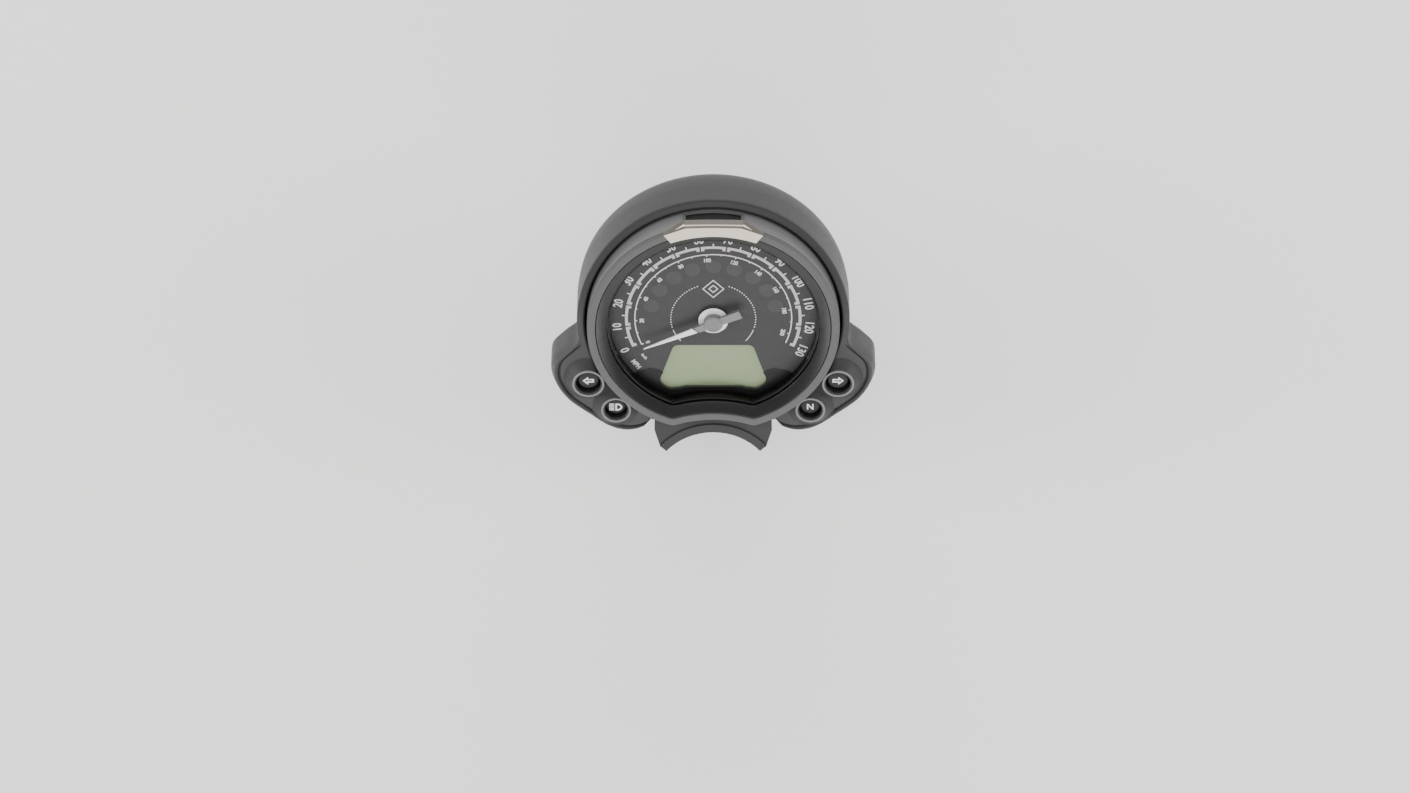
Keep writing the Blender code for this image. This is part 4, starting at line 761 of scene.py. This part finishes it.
for name, lamp in lamps.items():
    centre = (lamp["x"], lamp["y"])
    rim, top, lens = lamp["rim"], lamp["z"], lamp["lens"]
    # flare: a concave cone from under the rim to the ear's face
    share = np.linspace(0, 1, 14)
    flareTop = top - lampShape["flareDrop"]
    flareZ = flareTop + (shell["lip"] - 0.15 - flareTop) * (1 - (1 - share) ** 1.25)
    flare = [(rim - 1.6, shell["lip"] - 1.0), (rim - 1.6, flareTop)]
    flare += list(zip(rim - 0.05 + lampShape["flare"] * share, flareZ)) + [(rim + 4.5, shell["lip"] - 1.0)]
    points, quads, caps = turned(flare, centre, 96)
    flareShape = (keepOutside(points, shell["mouth"]), quads, caps)
    piece(f"lamp_flare_{name}", flareShape, finishes["moulded_plastic"],
          smoothAngle=50)
    bead = [(rim - 1.0, top - 1.0), (rim, top - 1.0), (rim, top), (rim - 1.0, top)]
    rimShape = turned(fillet(bead, 0.42, 6), centre, 96)
    piece(f"lamp_rim_{name}", rimShape, finishes["tube_rim"])
    back = lampShape["tubeBack"]
    tube = [(rim - 0.25, top - 0.7), (rim - 0.25, top - 1.4), (lens + 1.5, top - 4.2), (lens + 1.3, back)]
    tube += [(lens + 0.3, back), (lens + 0.3, top - 3.6), (rim - 0.9, top - 0.7)]
    piece(f"lamp_tube_{name}", turned(fillet(tube, 0.2, 3), centre, 96), finishes["funnel_black"],
          stands=f"tube_{name}")
    lensTop = top - lampShape["lensDrop"]
    bulge = np.linspace(1, 0, 8)[:-1]
    disc = [(0.01, lensTop - 2.0), (lens, lensTop - 2.0), (lens, lensTop - 0.35)]
    disc += [((lens - 0.2) * r, lensTop - lampShape["dome"] * r**2) for r in bulge] + [(0.01, lensTop)]
    lensShape = turned(disc, centre, 72, closed=False)
    piece(f"lamp_lens_{name}", lensShape, finishes["smoked"], stands=f"lens_{name}")


def arrowLoops(size, point):
    # a hollow arrow: the outline and the same outline drawn in, pointing left or right
    outer = np.array([(-1, 0), (-0.05, 0.82), (-0.05, 0.38), (0.95, 0.38), (0.95, -0.38), (-0.05, -0.38),
                      (-0.05, -0.82)])
    hollow = np.array([(-0.62, 0), (-0.27, 0.33), (-0.27, 0.13), (0.7, 0.13), (0.7, -0.13), (-0.27, -0.13),
                       (-0.27, -0.33)])
    way = (size * (1 if point == "left" else -1), size)
    return [outer * way, hollow * way]


def beamLoops(size):
    # a rounded lamp bowl open in the middle, with five short rays to its left
    turn = np.radians(np.linspace(-90, 90, 16))
    loops = []
    for wide, high, back in ((0.72, 0.62, -0.1), (0.47, 0.38, 0.1)):
        bowl = np.stack([wide * np.cos(turn) + 0.15, high * np.sin(turn)], 1)
        loops.append(np.concatenate([bowl, [(back, high), (back, -high)]]) * size)
    for y in np.linspace(-0.52, 0.52, 5):
        ray = [(-1.0, y - 0.07), (-0.28, y - 0.07), (-0.28, y + 0.07), (-1.0, y + 0.07)]
        loops.append(np.array(ray) * size)
    return loops


def iconOn(name, shape):
    # sets a symbol on a lamp's lens, following its slight dome
    lamp = lamps[name]
    points, quads, faces = shape
    away = np.hypot(points[:, 0], points[:, 1]) / lamp["lens"]
    z = lamp["z"] - lampShape["lensDrop"] - lampShape["dome"] * away**2 + points[:, 2]
    moved = np.column_stack([points[:, 0] + lamp["x"], points[:, 1] + lamp["y"], z])
    piece(f"lamp_icon_{name}", (moved, quads, faces), finishes["lens_icon"])


icon = dict(arrow=2.75, beam=3.3, letter=4.6, thick=0.1)
for way in ("left", "right"):
    iconOn(f"turn_{way}", flatShape(arrowLoops(icon["arrow"], way), 0, icon["thick"]))
iconOn("beam", flatShape(beamLoops(icon["beam"]), 0, icon["thick"]))
iconOn("neutral", lettering("N", icon["letter"], 0.0, 0.0, icon["thick"] / 2, spin=0))
print("lamps made")

# Camera: straight above the handlebars, twelve o'clock up the frame
view = dict(lens=163.0, sensor=36.0, far=20.0, stand=(-0.0039, -0.0246, 3.0907))
camera = bpy.data.cameras.new("camera")
camera.lens = view["lens"]
camera.sensor_width = view["sensor"]
camera.clip_end = view["far"]
eye = bpy.data.objects.new("camera", camera)
eye.location = view["stand"]
bpy.context.scene.collection.objects.link(eye)
bpy.context.scene.camera = eye


def softBox(name, stand, target, size, power):
    # a rectangular area light aimed from its stand at the target
    light = bpy.data.lights.new(name, "AREA")
    light.shape = "RECTANGLE"
    light.size, light.size_y = size
    light.energy = power
    lamp = bpy.data.objects.new(name, light)
    lamp.location = stand
    lamp.rotation_euler = (Vector(target) - Vector(stand)).to_track_quat("-Z", "Y").to_euler()
    bpy.context.scene.collection.objects.link(lamp)


middle = (0.0, 0.0, 0.08)
softBox("top_soft", (0.0, 0.1, 1.6), middle, (1.0, 1.0), 7)
softBox("rider_soft", (0.0, -1.5, 0.5), middle, (2.0, 0.6), 22)
softBox("left_soft", (-1.4, 0.1, 0.5), middle, (0.6, 1.4), 14)
softBox("right_soft", (1.4, 0.1, 0.5), middle, (0.6, 1.4), 13)
softBox("back_soft", (0.0, 1.5, 0.6), middle, (1.6, 0.6), 16)

world = bpy.data.worlds.new("studio")
world.use_nodes = True
world.node_tree.nodes["Background"].inputs["Color"].default_value = (1, 1, 1, 1)
world.node_tree.nodes["Background"].inputs["Strength"].default_value = 0.78
bpy.context.scene.world = world

ground = dict(half=3, points=9, gap=0.0005)
floorHeight = min(corner[2] for corner in cadBox) - ground["gap"]
edge = np.linspace(-ground["half"], ground["half"], ground["points"])
floorGrid = np.stack(np.broadcast_arrays(edge[:, None], edge[None, :], floorHeight), -1)
floorFaces = gridFaces(ground["points"], ground["points"], wrapColumns=False)[:, ::-1]
floor = bpy.data.objects.new("floor", bpy.data.meshes.new("floor"))
floor.data.from_pydata(floorGrid.reshape(-1, 3), [], floorFaces.tolist())
floor.data.materials.append(finishOf("floor", tone(252, 252, 250), 0.6, (40, 0.05), 0.01))
bpy.context.scene.collection.objects.link(floor)
print("stage set")
